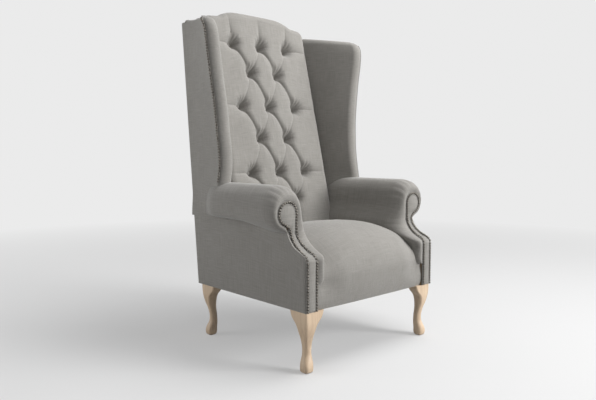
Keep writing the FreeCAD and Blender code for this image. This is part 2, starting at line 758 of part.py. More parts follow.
def wing_panel_section(height, edge_x, edge_y, climb):
    back = frame_back_y(height + climb)
    flare_start, flare_via, nail_line = wing_outer_points(height, edge_x, edge_y)
    board = Vector(-size.cover_board, 0, 0)
    outer_back = Vector(half_base, back, height)
    points = [outer_back] + bend(flare_start, flare_via, nail_line, 3) + [nail_line]
    points += bend(nail_line + board, flare_via + board, flare_start + board, 3)
    return climbing(points + [flare_start + board, outer_back + board], edge_y, climb)


crest_front = button_plane_y(size.crest_join) - size.crown_depth + 2
crest_room = block(0, 2 * half_base, crest_front - size.soft_gap, 2 * size.base_depth,
                   size.crest_join, 2 * size.crest_join)
wing_form = solid_loft([wing_pad_section(*level) for level in WING_LEVELS]).cut(crest_room)
panel_rows = [(size.roll_middle, *WING_LEVELS[0][1:3], 0.0)]
panel_rows += [(height, edge_x, edge_y, climb) for height, edge_x, edge_y, _, climb in WING_LEVELS[1:-1]]
panel_rows.append((size.wing_top - 4, WING_LEVELS[-1][1], WING_LEVELS[-1][2] - 2, size.wing_climb))
wing_panel = solid_loft([wing_panel_section(*row) for row in panel_rows])

# Wing frames: an upright on the arm rail and a sawn rail from its top back to the post
upright_top = size.wing_top - 50
board_clear = Vector(-size.cover_board - 0.7, 0, 0)


def flare_x(height, setback):
    """Outer face of the wing at a setback behind the nail line's edge, a parabola near its arc."""
    edge_x, edge_y = wing_edge(height)
    points = [(point.y - edge_y, point.x) for point in wing_outer_points(height, edge_x, edge_y)]
    total = 0.0
    for here, value in points:
        weight = value
        for other, _ in points:
            if other != here:
                weight *= (setback - other) / (here - other)
        total += weight
    return total


upright_rings = []
upright_heights = [level[0] for level in WING_LEVELS[1:5]]
for height in [arm_rail_top] + upright_heights + [upright_top]:
    _, edge_y = wing_edge(height)
    corners = []
    for setback in (12, 12 + size.rail_thickness):
        outer_x = flare_x(height, setback) - size.cover_board - 2
        if height == arm_rail_top:
            outer_x = frame_side
        ends = [Vector(outer_x - size.upright_width, edge_y + setback, height), Vector(outer_x, edge_y + setback, height)]
        corners += ends if not corners else ends[::-1]
    upright_rings.append(corners)
upright = solid_loft(upright_rings)

rail_low = upright_top - size.wing_rail_depth
edge_x, edge_y = wing_edge(rail_low)
flare_start, flare_via, nail_line = wing_outer_points(rail_low, edge_x, edge_y)
rail_inset = board_clear - Vector(20, 0, 0)
post_outer = Vector(half_base, frame_front_y(rail_low), rail_low) + board_clear
post_inner = Vector(half_base, frame_front_y(rail_low), rail_low) + rail_inset
rail_plan = [post_outer]
rail_plan += bend(flare_start + board_clear, flare_via + board_clear, nail_line + board_clear, 3)
rail_plan += [nail_line + board_clear]
rail_plan += bend(nail_line + rail_inset, flare_via + rail_inset, flare_start + rail_inset, 3)
rail_plan += [flare_start + rail_inset, post_inner]
wing_rail = flat_face(rail_plan).extrude(Vector(0, 0, size.wing_rail_depth))
upright_back_y = wing_edge(rail_low)[1] + 12 + size.rail_thickness
wing_rail = wing_rail.cut(block(0, 2 * half_base, 0, upright_back_y, rail_low - 1, upright_top + 1)).cut(upright)

# Arm pads and wing pads are hollowed for the frame that they cover
arm_plain = arm_form(0.0)
arm_grown = arm_form(size.soft_gap)
arm_rail_hollow = block(frame_inner, frame_side, arm_rail_front - 1, arm_rail_back, arm_rail_low_z, arm_rail_top)
arm_pad = arm_plain.cut([arm_cutter, arm_rail_hollow, upright])
# The roll's tail passes outside the back post only.
post_front = frame_front_y(size.roll_middle - size.roll_drop) - size.soft_gap
tail_cutter = block(0, frame_side + size.soft_gap, post_front, size.base_depth + 90, rail_top, SIDE_TOP + 100)
arm_pad = arm_pad.cut(tail_cutter)
wing_pad = wing_form.cut([arm_grown, upright, wing_rail])
wing_panel = wing_panel.cut(arm_grown)

for side in (1, -1):
    name = side_name(side)
    shaped("arm_pad_" + name, mirrored(arm_pad, side))
    shaped("outside_arm_" + name, mirrored(arm_panel, side))
    shaped("wing_pad_" + name, mirrored(wing_pad, side))
    shaped("outside_wing_" + name, mirrored(wing_panel, side))
    shaped("wing_upright_" + name, mirrored(upright, side))
    shaped("wing_rail_" + name, mirrored(wing_rail, side))

# Diamond-buttoned back
# Odd rows hold a middle button and two outer ones, even rows hold two between them.
# Every level of the loft is five scallops: side, inner, middle, inner, side. The middle scallop
# is a button's width at the odd rows and a full diamond at the even ones, and as a scallop
# narrows its swell shrinks with it.
ROW_HEIGHTS = [size.row_first, size.row_second, size.row_third, size.row_fourth, size.row_fifth, size.row_sixth]
dimple = 2 * size.button_radius + 2
widest = size.button_pitch - dimple
SCALLOP_SIDES = 6
SIDE_SWELL = 0.75


def tuft_level(height, middle_width, crease, fullness=1.0):
    """One level of the tufted back. The creases lie this deep behind the crown plane."""
    crown_y = button_plane_y(height) - size.crown_depth
    half_middle = middle_width / 2
    outer_x = size.button_pitch - half_middle
    folds = [-half_back, -outer_x, -half_middle, half_middle, outer_x, half_back]
    swell = size.crown_depth / widest * fullness
    points = []
    for index, (first, last) in enumerate(zip(folds, folds[1:])):
        rise = swell * (last - first)
        if index in (0, 4):
            rise *= SIDE_SWELL
        for side in range(SCALLOP_SIDES):
            share = side / SCALLOP_SIDES
            bulge = math.sin(math.pi * share) ** 0.8
            points.append(Vector(first + (last - first) * share, crown_y + crease - rise * bulge, height))
    rear_y = back_rail_front_y(height) - pad_rear_lead
    points.append(Vector(half_back, crown_y + crease, height))
    points.append(Vector(half_back, rear_y, height))
    points.append(Vector(-half_back, rear_y, height))
    return points


MID_CREASE_SHARE = 0.6
tuft_rings = [
    tuft_level(size.crest_join, dimple, 10, 0.25),
    tuft_level((size.crest_join + size.row_first) / 2, dimple, 24, 0.62),
]
for index, (upper, lower) in enumerate(zip(ROW_HEIGHTS, ROW_HEIGHTS[1:])):
    middle_width = dimple if index % 2 == 0 else widest
    tuft_rings.append(tuft_level(upper, middle_width, size.crown_depth))
    tuft_rings.append(tuft_level((upper + lower) / 2, size.button_pitch / 2, size.crown_depth * MID_CREASE_SHARE))
tuft_rings.append(tuft_level(ROW_HEIGHTS[-1], widest, size.crown_depth))
tuft_rings.append(tuft_level(ROW_HEIGHTS[-1] - 40, widest, 16, 0.4))
tuft_rings.append(tuft_level(size.back_foot, widest, 3, 0.06))
tuft_rings.append(tuft_level(size.back_foot - 40, widest, 3, 0.06))
tufted = solid_loft(tuft_rings[::-1])

lean = math.radians(size.inside_rake)
plane_normal = Vector(0, -math.cos(lean), math.sin(lean))
button_places = []
for index, height in enumerate(ROW_HEIGHTS):
    columns = (-1, 0, 1) if index % 2 == 0 else (-0.5, 0.5)
    for column in columns:
        button_places.append(Vector(column * size.button_pitch, button_plane_y(height), height))

BUTTON_FACETS = 12


def button_form():
    """A covered button about +Z: flat back, short side and a domed face."""
    rings = []
    for share, spread in ((0, 1), (0.4, 1), (0.8, 0.7), (1, 0.3)):
        middle = Vector(0, 0, size.button_thickness * share)
        radius = size.button_radius * spread
        rings.append(faceted_ring(middle, lambda heading: radius, Vector(1, 0, 0), Vector(0, 1, 0), BUTTON_FACETS))
    return solid_loft(rings)


well_radius = size.button_radius + 1.3
facing_forward = FreeCAD.Rotation(Vector(0, 0, 1), plane_normal)
wells = []
buttons = []
for place in button_places:
    wells.append(Part.makeCylinder(well_radius, 2 * size.crown_depth, place, plane_normal))
    button = button_form()
    button.Placement = FreeCAD.Placement(place, facing_forward)
    buttons.append(button)
shaped("back_buttons", Part.makeCompound(buttons))

# Crest: a roll over the shaped top rail, gathered at the three pleats of the top row
crest_rear = crest_front + size.crest_thickness
crest_side = size.crest_join + size.crest_rise
# Rows: sideways share of the half width, share of the rise from the wings to the middle, pleat.
half_crest = half_base - 14
CREST_STATIONS = [
    (1.0, -0.5, 4),
    (0.94, -0.05, 0),
    (0.78, 0.2, 0),
    (0.6, 0.36, 0),
    (0.45, 0.78, 6),
    (0.36, 0.97, 0),
    (0.22, 1.04, 0),
    (0.0, 1.0, 7),
]


def crest_section(x, rise, pleat):
    top = crest_side + size.crest_arch * rise - pleat * 0.6
    low = size.crest_join + size.soft_gap
    height = top - low
    front = Vector(x, crest_front + pleat, low)
    front_via = Vector(x, crest_front + pleat * 0.8 + size.crest_thickness * 0.13, low + height * 0.68)
    crown = Vector(x, crest_front + size.crest_thickness * 0.52, top)
    rear_via = Vector(x, crest_rear - size.crest_thickness * 0.06, low + height * 0.72)
    rear = Vector(x, crest_rear + 6, low + height * 0.3)
    rear_foot = Vector(x, outside_back_y(low) - 1, low)
    return bend(front, front_via, crown, 4) + bend(crown, rear_via, rear, 3) + [rear, rear_foot]


crest_rows = [(-share, rise, pleat) for share, rise, pleat in CREST_STATIONS[:-1]]
crest_rows += [(share, rise, pleat) for share, rise, pleat in reversed(CREST_STATIONS)]
crest_rings = [crest_section(share * half_crest, rise, pleat) for share, rise, pleat in crest_rows]
crest = solid_loft(crest_rings)

crest_board_front = back_rail_front_y(size.post_top)
board_low = size.post_top
board_side_top = crest_side - 26
board_middle_top = board_side_top + size.crest_arch
board_half = half_crest - 14
board_edges = [
    arc(Vector(-board_half, crest_board_front, board_side_top),
        Vector(0, crest_board_front, board_middle_top),
        Vector(board_half, crest_board_front, board_side_top)),
]
board_edges += polyline([
    Vector(board_half, crest_board_front, board_side_top),
    Vector(board_half, crest_board_front, board_low),
    Vector(-board_half, crest_board_front, board_low),
    Vector(-board_half, crest_board_front, board_side_top),
])
crest_board = Part.Face(Part.Wire(board_edges)).extrude(Vector(0, size.rail_thickness, 0))
shaped("crest_rail", crest_board)

shaped("crest_roll", crest.cut(crest_board))
shaped("tufted_back", tufted.cut(wells + [mirrored(arm_grown, side) for side in (1, -1)]))

# Outside back
box("outside_back", "base_width", "cover_board",
    "(crest_join - leg_height) / cos(outside_rake * 1deg) - cover_board * tan(outside_rake * 1deg) - soft_gap",
    "-base_width / 2", "base_depth - cover_board * cos(outside_rake * 1deg)",
    "leg_height + cover_board * sin(outside_rake * 1deg)", tilt="outside_rake")

# Tight seat: one crowned panel that rolls down over the front rail to the bottom of the chair
# Rows: sideways share of the half width, shares of the crown and of the edge's drop, front bulge,
# and the shares of the seat's height at which the front begins to round and falls back most.
seat_half = facing_inner - size.soft_gap
SEAT_STATIONS = [
    (1.0, 0.0, 1.0, 0.3, 0.50, 0.69),
    (0.8, 0.0, 0.0, 0.6, 0.47, 0.735),
    (0.55, 0.6, 0.0, 0.85, 0.455, 0.74),
    (0.28, 0.9, 0.0, 0.97, 0.458, 0.748),
    (0.0, 1.0, 0.0, 1.0, 0.46, 0.75),
]


def seat_section(x, crown, edge, bulge, shoulder_share, fall_share):
    top = size.seat_side + (size.seat_crown - size.seat_side) * crown - size.seat_edge_drop * edge
    shoulder = size.leg_height + (top - size.leg_height) * shoulder_share
    fall = size.leg_height + (top - size.leg_height) * fall_share
    rear_top = top - 26
    front = -size.seat_bulge * bulge
    rear_lead = size.crown_depth + size.soft_gap

    def back_y(height):
        return button_plane_y(height) - rear_lead

    foot = Vector(x, 0, size.leg_height)
    foot_via = Vector(x, front * 0.75, (size.leg_height + shoulder) / 2)
    shoulder_point = Vector(x, front, shoulder)
    fall_via = Vector(x, 16, fall)
    brow = Vector(x, 90, top - 24)
    brow_via = Vector(x, 150, top - 6)
    crown_point = Vector(x, 220, top)
    crown_via = Vector(x, 340, top - 6)
    rear = Vector(x, back_y(rear_top), rear_top)
    points = bend(foot, foot_via, shoulder_point, 2)
    points += bend(shoulder_point, fall_via, brow, 5)
    points += bend(brow, brow_via, crown_point, 2)
    points += bend(crown_point, crown_via, rear, 3)
    return points + [
        rear,
        Vector(x, back_y(seat_bottom), seat_bottom),
        Vector(x, size.front_apron, seat_bottom),
        Vector(x, size.front_apron, size.leg_height),
    ]


seat_rows = [(-share, *rest) for share, *rest in SEAT_STATIONS[:-1]] + SEAT_STATIONS[::-1]
seat_rings = [seat_section(share * seat_half, *rest) for share, *rest in seat_rows]
seat = solid_loft(seat_rings)
seat_cutters = []
for side in (1, -1):
    seat_cutters.append(mirrored(arm_grown, side))
    seat_cutters.append(mirrored(facing_outline(size.soft_gap).extrude(Vector(0, arm_rail_front, 0)), side))
seat = seat.cut(seat_cutters)
shaped("seat_cushion", seat)

# Check and export
doc.recompute()
failed = [piece.Label for piece in doc.Objects if "Invalid" in piece.State or "Error" in piece.State]
if failed:
    raise RuntimeError("features failed: " + ", ".join(failed))
for piece in PIECES:
    if piece.Shape.isNull() or not piece.Shape.isValid() or not piece.Shape.Solids:
        raise RuntimeError("bad shape: " + piece.Label)

os.makedirs("parts", exist_ok=True)
whole = FreeCAD.BoundBox()
for piece in PIECES:
    piece.Shape.exportStep(os.path.join("parts", piece.Label + ".step"))
    whole.add(piece.Shape.BoundBox)
    print(piece.Label, len(piece.Shape.Solids), "solids", round(piece.Shape.Volume / 1000), "cm3")
print("size", round(whole.XLength, 1), round(whole.YLength, 1), round(whole.ZLength, 1))
print("from", round(whole.XMin, 1), round(whole.YMin, 1), round(whole.ZMin, 1))
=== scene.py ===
import json
import math

import bpy
import numpy as np
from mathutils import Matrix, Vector


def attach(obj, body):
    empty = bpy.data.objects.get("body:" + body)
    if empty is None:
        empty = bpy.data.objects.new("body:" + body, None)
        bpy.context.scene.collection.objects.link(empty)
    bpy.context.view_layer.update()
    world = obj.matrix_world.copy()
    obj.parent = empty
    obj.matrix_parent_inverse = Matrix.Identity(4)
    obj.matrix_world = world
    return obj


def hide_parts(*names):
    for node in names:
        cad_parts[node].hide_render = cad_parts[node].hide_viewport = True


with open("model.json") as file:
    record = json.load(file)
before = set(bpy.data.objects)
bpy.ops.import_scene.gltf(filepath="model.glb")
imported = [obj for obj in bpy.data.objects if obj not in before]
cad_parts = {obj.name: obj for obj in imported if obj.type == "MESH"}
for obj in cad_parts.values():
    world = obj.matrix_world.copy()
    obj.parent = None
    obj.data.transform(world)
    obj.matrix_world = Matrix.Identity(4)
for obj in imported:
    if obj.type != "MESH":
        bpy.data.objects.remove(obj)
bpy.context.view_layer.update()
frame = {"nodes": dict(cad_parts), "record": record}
bpy.ops.object.select_all(action="DESELECT")

# Lengths are in metres. Depths are counted from the front plane of the arm facings, and the
# setback takes them to the frame's origin.
SETBACK = 0.3552
HALF_BASE = 0.332
UNDERSIDE = 0.203
BOARD = 0.007
CLEARANCE = 0.002
BACK_RAKE = math.tan(math.radians(5.4))
BACK_FOOT_DEPTH = 0.617
BUTTON_LEAN = math.radians(13.8)
BUTTON_RAKE = math.tan(BUTTON_LEAN)
LOW_BUTTON, LOW_BUTTON_DEPTH = 0.637, 0.535
TAU = 2 * math.pi


# Shapes
def flowing(rows, where):
    """A smooth curve through the rows of a table, whose first column is where it is read."""
    table = np.array(rows, float)
    xs, ys = table[:, 0], table[:, 1:]
    slopes = np.gradient(ys, xs, axis=0)
    where = np.clip(np.asarray(where, float), xs[0], xs[-1])
    index = np.clip(np.searchsorted(xs, where, side="right") - 1, 0, len(xs) - 2)
    span = xs[index + 1] - xs[index]
    t = ((where - xs[index]) / span)[..., None]
    span = span[..., None]
    out = (2 * t**3 - 3 * t**2 + 1) * ys[index] + (t**3 - 2 * t**2 + t) * span * slopes[index]
    out = out + (3 * t**2 - 2 * t**3) * ys[index + 1] + (t**3 - t**2) * span * slopes[index + 1]
    return out[..., 0] if ys.shape[1] == 1 else out


def columns_at(rows, where):
    """The same curve, with the table's columns one by one."""
    return np.moveaxis(flowing(rows, where), -1, 0)


def straight_between(rows, where):
    """Straight lines through the rows of a table of two columns."""
    return np.interp(where, *np.array(rows).T)


def step_between(low, high, value):
    """0 up to low, 1 from high on, and a soft step between them."""
    share = np.clip((value - low) / (high - low), 0, 1)
    return share * share * (3 - 2 * share)


def rounded(share):
    """A quarter circle: it rises steeply from 0 and levels off at 1."""
    return np.sqrt(1 - (1 - np.clip(share, 0, 1)) ** 2)


def outside_back(height):
    """Depth of the outside back at a height."""
    return BACK_FOOT_DEPTH + (height - UNDERSIDE) * BACK_RAKE


def button_plane(height):
    """Depth, at a height, of the plane that the buttons lie on."""
    return LOW_BUTTON_DEPTH + (height - LOW_BUTTON) * BUTTON_RAKE


def stacked(x, y, z):
    """Places in the frame, from places across, in depth and in height."""
    x, y, z = np.broadcast_arrays(x, y, z)
    return np.stack([x, y - SETBACK, z], -1)


def places_of(piece):
    flat = np.zeros(len(piece.data.vertices) * 3, np.float32)
    piece.data.vertices.foreach_get("co", flat)
    return flat.reshape(-1, 3)


def set_places(piece, places):
    piece.data.vertices.foreach_set("co", np.asarray(places, np.float32).ravel())
    piece.data.update()


def named(piece, name):
    piece.name = name
    piece.data.name = name
    return piece


def only(piece):
    """Selects this piece alone."""
    bpy.ops.object.select_all(action="DESELECT")
    piece.select_set(True)
    bpy.context.view_layer.objects.active = piece


def select_border():
    """Selects the open edges of the piece that is being edited."""
    bpy.ops.mesh.select_all(action="DESELECT")
    bpy.ops.mesh.select_non_manifold(
        extend=False, use_wire=False, use_multi_face=False, use_non_contiguous=False, use_verts=False,
    )


def end_edit_outwards():
    """Points all faces outwards and ends the edit."""
    bpy.ops.mesh.select_all(action="SELECT")
    bpy.ops.mesh.normals_make_consistent(inside=False)
    bpy.ops.object.mode_set(mode="OBJECT")


def fabric_grid(name, across, along, place, size):
    """A grid shaped by place(share across, share along). Its UV map is in metres of cloth."""
    bpy.ops.mesh.primitive_grid_add(x_subdivisions=across, y_subdivisions=along, size=1, calc_uvs=True)
    piece = named(bpy.context.object, name)
    flat = places_of(piece)
    set_places(piece, place(flat[:, 0] + 0.5, flat[:, 1] + 0.5))
    cloth = piece.data.uv_layers.active.data
    uv = np.zeros(len(cloth) * 2, np.float32)
    cloth.foreach_get("uv", uv)
    uv = uv.reshape(-1, 2) * np.array(size)
    cloth.foreach_set("uv", uv.astype(np.float32).ravel())
    return piece


def tube_grid(name, around, along, place, size):
    """A grid whose two long sides are sewn together, with both ends closed."""
    piece = fabric_grid(name, around, along, place, size)
    only(piece)
    bpy.ops.object.mode_set(mode="EDIT")
    bpy.ops.mesh.select_all(action="SELECT")
    bpy.ops.mesh.remove_doubles(threshold=0.00002)
    select_border()
    bpy.ops.mesh.fill_holes(sides=0)
    end_edit_outwards()
    return piece


def close_behind(piece, behind):
    """Turns the border of a front back to the places that behind() gives, and closes it there."""
    only(piece)
    bpy.ops.object.mode_set(mode="EDIT")
    bpy.ops.mesh.select_mode(type="EDGE")
    select_border()
    bpy.ops.mesh.extrude_edges_move()
    bpy.ops.object.mode_set(mode="OBJECT")
    chosen = np.zeros(len(piece.data.vertices), bool)
    piece.data.vertices.foreach_get("select", chosen)
    places = places_of(piece)
    places[chosen] = behind(places[chosen])
    set_places(piece, places)
    bpy.ops.object.mode_set(mode="EDIT")
    bpy.ops.mesh.edge_face_add()
    end_edit_outwards()


def boarded(piece, thickness):
    """Gives a covered panel its thickness, behind the face that shows."""
    only(piece)
    modifier = piece.modifiers.new("thickness", "SOLIDIFY")
    modifier.thickness = thickness
    modifier.offset = -1
    bpy.ops.object.modifier_apply(modifier=modifier.name)


def smoothed(piece, angle):
    """Shades the piece smooth, apart from edges sharper than the angle in degrees."""
    only(piece)
    bpy.ops.object.shade_smooth_by_angle(angle=math.radians(angle))


def mirrored(piece, name):
    """The same piece on the other side, with its faces turned to point outwards again."""
    only(piece)
    bpy.ops.object.duplicate()
    other = named(bpy.context.object, name)
    set_places(other, places_of(other) * (-1, 1, 1))
    bpy.ops.object.mode_set(mode="EDIT")
    bpy.ops.mesh.select_all(action="SELECT")
    bpy.ops.mesh.flip_normals()
    bpy.ops.object.mode_set(mode="OBJECT")
    return other


def joined(pieces, name):
    """The pieces made one."""
    bpy.ops.object.select_all(action="DESELECT")
    for piece in pieces:
        piece.select_set(True)
    bpy.context.view_layer.objects.active = pieces[0]
    bpy.ops.object.join()
    whole = named(bpy.context.object, name)
    smoothed(whole, 80)
    return whole


# Materials
# Sockets of a Mix node that is set to colours
MIX_FIRST, MIX_SECOND, MIX_RESULT = 6, 7, 2


class Wave:
    """A number that varies over a surface. Sums, differences and products of it add Math nodes."""

    def __init__(self, finish, socket):
        self.finish = finish
        self.socket = socket

    def maths(self, operation, *others):
        return self.finish.node("ShaderNodeMath", {"operation": operation}, [self, *others])

    def __add__(self, other):
        return self.maths("ADD", other)

    __radd__ = __add__

    def __sub__(self, other):
        return self.maths("SUBTRACT", other)

    def __rsub__(self, other):
        return self * -1 + other

    def __mul__(self, other):
        return self.maths("MULTIPLY", other)

    __rmul__ = __mul__


class Finish:
    """A material about its Principled shader."""

    def __init__(self, name, colour, roughness, **constants):
        self.material = bpy.data.materials.new(name)
        self.material.use_nodes = True
        self.tree = self.material.node_tree
        self.shader = self.tree.nodes["Principled BSDF"]
        self.material.diffuse_color = (*colour, 1)
        self.shader.inputs["Base Color"].default_value = (*colour, 1)
        self.shader.inputs["Roughness"].default_value = roughness
        for socket, value in constants.items():
            self.shader.inputs[socket.replace("_", " ")].default_value = value

    def node(self, kind, settings, inputs, output=0):
        """A node of this kind, with its settings made first, then its sockets given or linked."""
        node = self.tree.nodes.new(kind)
        for key, value in settings.items():
            setattr(node, key, value)
        pairs = inputs.items() if isinstance(inputs, dict) else enumerate(inputs)
        for socket, value in pairs:
            if isinstance(value, Wave):
                self.tree.links.new(value.socket, node.inputs[socket])
            else:
                node.inputs[socket].default_value = value
        return Wave(self, node.outputs[output])

    def feed(self, socket, wave):
        self.tree.links.new(wave.socket, self.shader.inputs[socket])

    def place(self, kind="Object"):
        return self.node("ShaderNodeTexCoord", {}, {}, kind)

    def spread(self, place, scale):
        return self.node("ShaderNodeMapping", {}, {"Vector": place, "Scale": scale})

    def noise(self, place, scale, detail, rough=0.5):
        inputs = {"Vector": place, "Scale": scale, "Detail": detail, "Roughness": rough}
        return self.node("ShaderNodeTexNoise", {}, inputs)

    def range(self, wave, low, high, to_low, to_high):
        inputs = {"Value": wave, "From Min": low, "From Max": high, "To Min": to_low, "To Max": to_high}
        return self.node("ShaderNodeMapRange", {}, inputs)

    def blend(self, factor, first, second):
        """A colour between two others, each of them three numbers or a wave."""
        first, second = (end if isinstance(end, Wave) else (*end, 1) for end in (first, second))
        inputs = {"Factor": factor, MIX_FIRST: first, MIX_SECOND: second}
        return self.node("ShaderNodeMix", {"data_type": "RGBA"}, inputs, MIX_RESULT)

    def bump(self, height, distance, strength):
        inputs = {"Height": height, "Distance": distance, "Strength": strength}
        self.feed("Normal", self.node("ShaderNodeBump", {}, inputs))


def woven(name, dark, light, pitch):
    """Fine plain weave: threads over and under, thicker here and there, with a soft nap."""
    finish = Finish(name, light, roughness=0.92, Sheen_Weight=0.25, Sheen_Roughness=0.5)
    cloth = finish.place("UV")
    across = finish.node("ShaderNodeSeparateXYZ", {}, [cloth])
    along = Wave(finish, across.socket.node.outputs["Y"])

    def drawn_out(fine, long):
        """Noise in short streaks, along the warp and along the weft."""
        warp = finish.noise(finish.spread(cloth, (fine, long, 1)), 1.0, 2.0)
        weft = finish.noise(finish.spread(cloth, (long, fine, 1)), 1.0, 2.0)
        return warp + weft

    turns = TAU / (2 * pitch)
    over = (across * turns).maths("SINE") * (along * turns).maths("SINE")
    gaps = (across * (2 * turns)).maths("COSINE") + (along * (2 * turns)).maths("COSINE")
    threads = over * 0.35 - gaps * 0.15
    slubs = drawn_out(900, 28) * 0.5
    streaks = drawn_out(330, 14) * 0.55
    mottle = finish.noise(finish.place(), 9.0, 4.0)
    tone = finish.range(slubs * 0.6 + streaks + mottle * 0.25 + threads * 0.06, 0.7, 1.25, 0.0, 1.0)
    finish.feed("Base Color", finish.blend(tone, dark, light))
    finish.bump(threads * 0.6 + slubs * 1.6, 0.0004, 0.5)
    return finish.material


def limed_oak():
    """Pale oak with white lime left in its pores."""
    finish = Finish("limed_oak", (0.5, 0.39, 0.28), roughness=0.5)
    place = finish.place()
    grain = finish.noise(finish.spread(place, (130, 130, 5)), 1.0, 5.0, 0.62)
    pores = finish.noise(finish.spread(place, (620, 620, 16)), 1.0, 3.0, 0.6)
    broad = finish.noise(finish.spread(place, (30, 30, 3)), 1.0, 2.0)
    tone = finish.range(grain * 0.6 + broad * 0.4, 0.36, 0.62, 0.0, 1.0)
    wood = finish.blend(tone, (0.54, 0.398, 0.272), (0.67, 0.515, 0.362))
    lime = finish.range(pores, 0.56, 0.68, 0.0, 0.45)
    finish.feed("Base Color", finish.blend(lime, wood, (0.7, 0.59, 0.46)))
    finish.feed("Roughness", finish.range(grain, 0.3, 0.7, 0.42, 0.6))
    finish.bump(pores * 0.6 + grain, 0.0005, 0.35)
    return finish.material


def sawn_wood():
    finish = Finish("sawn_beech", (0.55, 0.38, 0.22), roughness=0.7)
    grain = finish.noise(finish.spread(finish.place(), (90, 12, 90)), 1.0, 4.0)
    finish.feed("Base Color", finish.blend(grain, (0.42, 0.28, 0.16), (0.62, 0.45, 0.28)))
    finish.bump(grain, 0.0004, 0.4)
    return finish.material


def antique_nail():
    finish = Finish("antique_nail", (0.13, 0.115, 0.1), roughness=0.42, Metallic=0.9)
    wear = finish.noise(finish.place(), 260.0, 3.0)
    tone = finish.range(wear, 0.35, 0.7, 0.0, 1.0)
    finish.feed("Base Color", finish.blend(tone, (0.04, 0.036, 0.032), (0.26, 0.24, 0.21)))
    finish.feed("Roughness", finish.range(wear, 0.3, 0.7, 0.34, 0.55))
    return finish.material


def plain_steel():
    finish = Finish("plain_steel", (0.5, 0.5, 0.5), roughness=0.35, Metallic=1.0)
    scratches = finish.noise(finish.place(), 300.0, 2.0)
    finish.feed("Roughness", finish.range(scratches, 0.3, 0.7, 0.28, 0.5))
    return finish.material


def black_lining():
    finish = Finish("black_lining", (0.02, 0.02, 0.02), roughness=0.9)
    threads = finish.noise(finish.spread(finish.place(), (900, 900, 900)), 1.0, 2.0)
    finish.bump(threads, 0.0003, 0.4)
    return finish.material


def jute():
    finish = Finish("jute", (0.42, 0.3, 0.16), roughness=0.9)
    fibres = finish.noise(finish.spread(finish.place(), (700, 700, 60)), 1.0, 3.0)
    finish.feed("Base Color", finish.blend(fibres, (0.3, 0.2, 0.1), (0.5, 0.37, 0.21)))
    finish.bump(fibres, 0.0004, 0.6)
    return finish.material


FABRIC = woven("grey_linen", dark=(0.187, 0.178, 0.163), light=(0.288, 0.276, 0.255), pitch=0.0011)
OAK = limed_oak()
NAIL = antique_nail()

SLOT_MATERIALS = {
    "bolt_steel": plain_steel(),
    "limed_oak": OAK,
    "jute_webbing": jute(),
    "lining_cloth": black_lining(),
    "beech_frame": sawn_wood(),
    "grey_upholstery": FABRIC,
}
for part in frame["record"]["subparts"]:
    for holder in frame["nodes"][part["node"]].material_slots:
        holder.material = SLOT_MATERIALS[part["material_slot"]]


def finished(piece, material, nodes=()):
    """Gives a finished piece its material and its place in the chair."""
    piece.data.materials.clear()
    piece.data.materials.append(material)
    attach(piece, "root")
    if nodes:
        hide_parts(*nodes)


def upholstered(piece, nodes):
    finished(piece, FABRIC, nodes)


def both_sides(piece, name, node):
    """Upholsters a right-hand piece and its mirror image, each in place of its own node."""
    other = mirrored(piece, name + "_left")
    for side, cover in (("right", piece), ("left", other)):
        upholstered(cover, (node + "_" + side,))


# Diamond-buttoned back: its creases run from button to button
ROWS = [1.157, 1.042, 0.904, 0.775, 0.637, 0.527]
PITCH = 0.141
HALF_BACK = 0.257
CROWN = 0.038
BACK_FOOT = 0.405
ODD = [-PITCH, 0.0, PITCH]
EVEN = [-PITCH / 2, PITCH / 2]
BUTTONS = [(x, z) for index, z in enumerate(ROWS) for x in (ODD if index % 2 == 0 else EVEN)]

# What a crease keeps of the crown, at its middle between two buttons or at its far end
FOLDED_KEEPS, OPEN_KEEPS = 0.66, 0.83
SIDE_KEEPS, CREST_KEEPS, FOOT_KEEPS = 0.96, 1.14, 0.8
CREST_FAN, FOOT_FAN = 1.12, 1.08
PAST_CREST = 1.33
CREASE_REACH = 0.05
CREASE_BLEND = 0.004
FOLD_STEEPNESS = 2.6


def crease_lines():
    """Each crease: its ends, what its middle and far end keep of the crown, and whether it is folded."""
    lines = []
    for index, (upper, lower) in enumerate(zip(ROWS, ROWS[1:])):
        tops, feet = (ODD, EVEN) if index % 2 == 0 else (EVEN, ODD)
        for x in tops:
            for below in feet:
                if abs(x - below) < PITCH * 0.6:
                    folded = below > x
                    keeps = FOLDED_KEEPS if folded else OPEN_KEEPS
                    lines.append(((x, upper), (below, lower), keeps, 0, folded))
    for height in ROWS[::2]:
        for side in (-1, 1):
            lines.append(((side * PITCH, height), (side * HALF_BACK, height - 0.004), 0, SIDE_KEEPS, False))
    for x in ODD:
        lines.append(((x, ROWS[0]), (x * CREST_FAN, PAST_CREST), 0, CREST_KEEPS, False))
    for x in EVEN:
        lines.append(((x, ROWS[-1]), (x * FOOT_FAN, BACK_FOOT), 0, FOOT_KEEPS, False))
    return lines


def tuft_height(x, z):
    """How far the padding stands in front of the button plane, as a share of the crown."""
    total = np.zeros_like(x)
    weights = np.zeros_like(x)
    for (x0, z0), (x1, z1), middle, end, folded in crease_lines():
        length = math.hypot(x1 - x0, z1 - z0)
        t = np.clip(((x - x0) * (x1 - x0) + (z - z0) * (z1 - z0)) / length ** 2, 0, 1)
        distance = np.hypot(x - x0 - t * (x1 - x0), z - z0 - t * (z1 - z0))
        floor = np.minimum(1, end * t ** 0.42) if end else middle * np.sin(np.pi * t) ** 0.7
        near = np.clip(distance / CREASE_REACH, 0, 1)
        if folded:
            above = (x - x0) * (z0 - z1) + (z - z0) * (x1 - x0) > 0
            near = np.where(above, near * FOLD_STEEPNESS, near)
        level = floor + (1 - floor) * rounded(near)
        weight = np.exp(-distance / CREASE_BLEND)
        total += weight * level
        weights += weight
    return total / (weights + 1e-30)


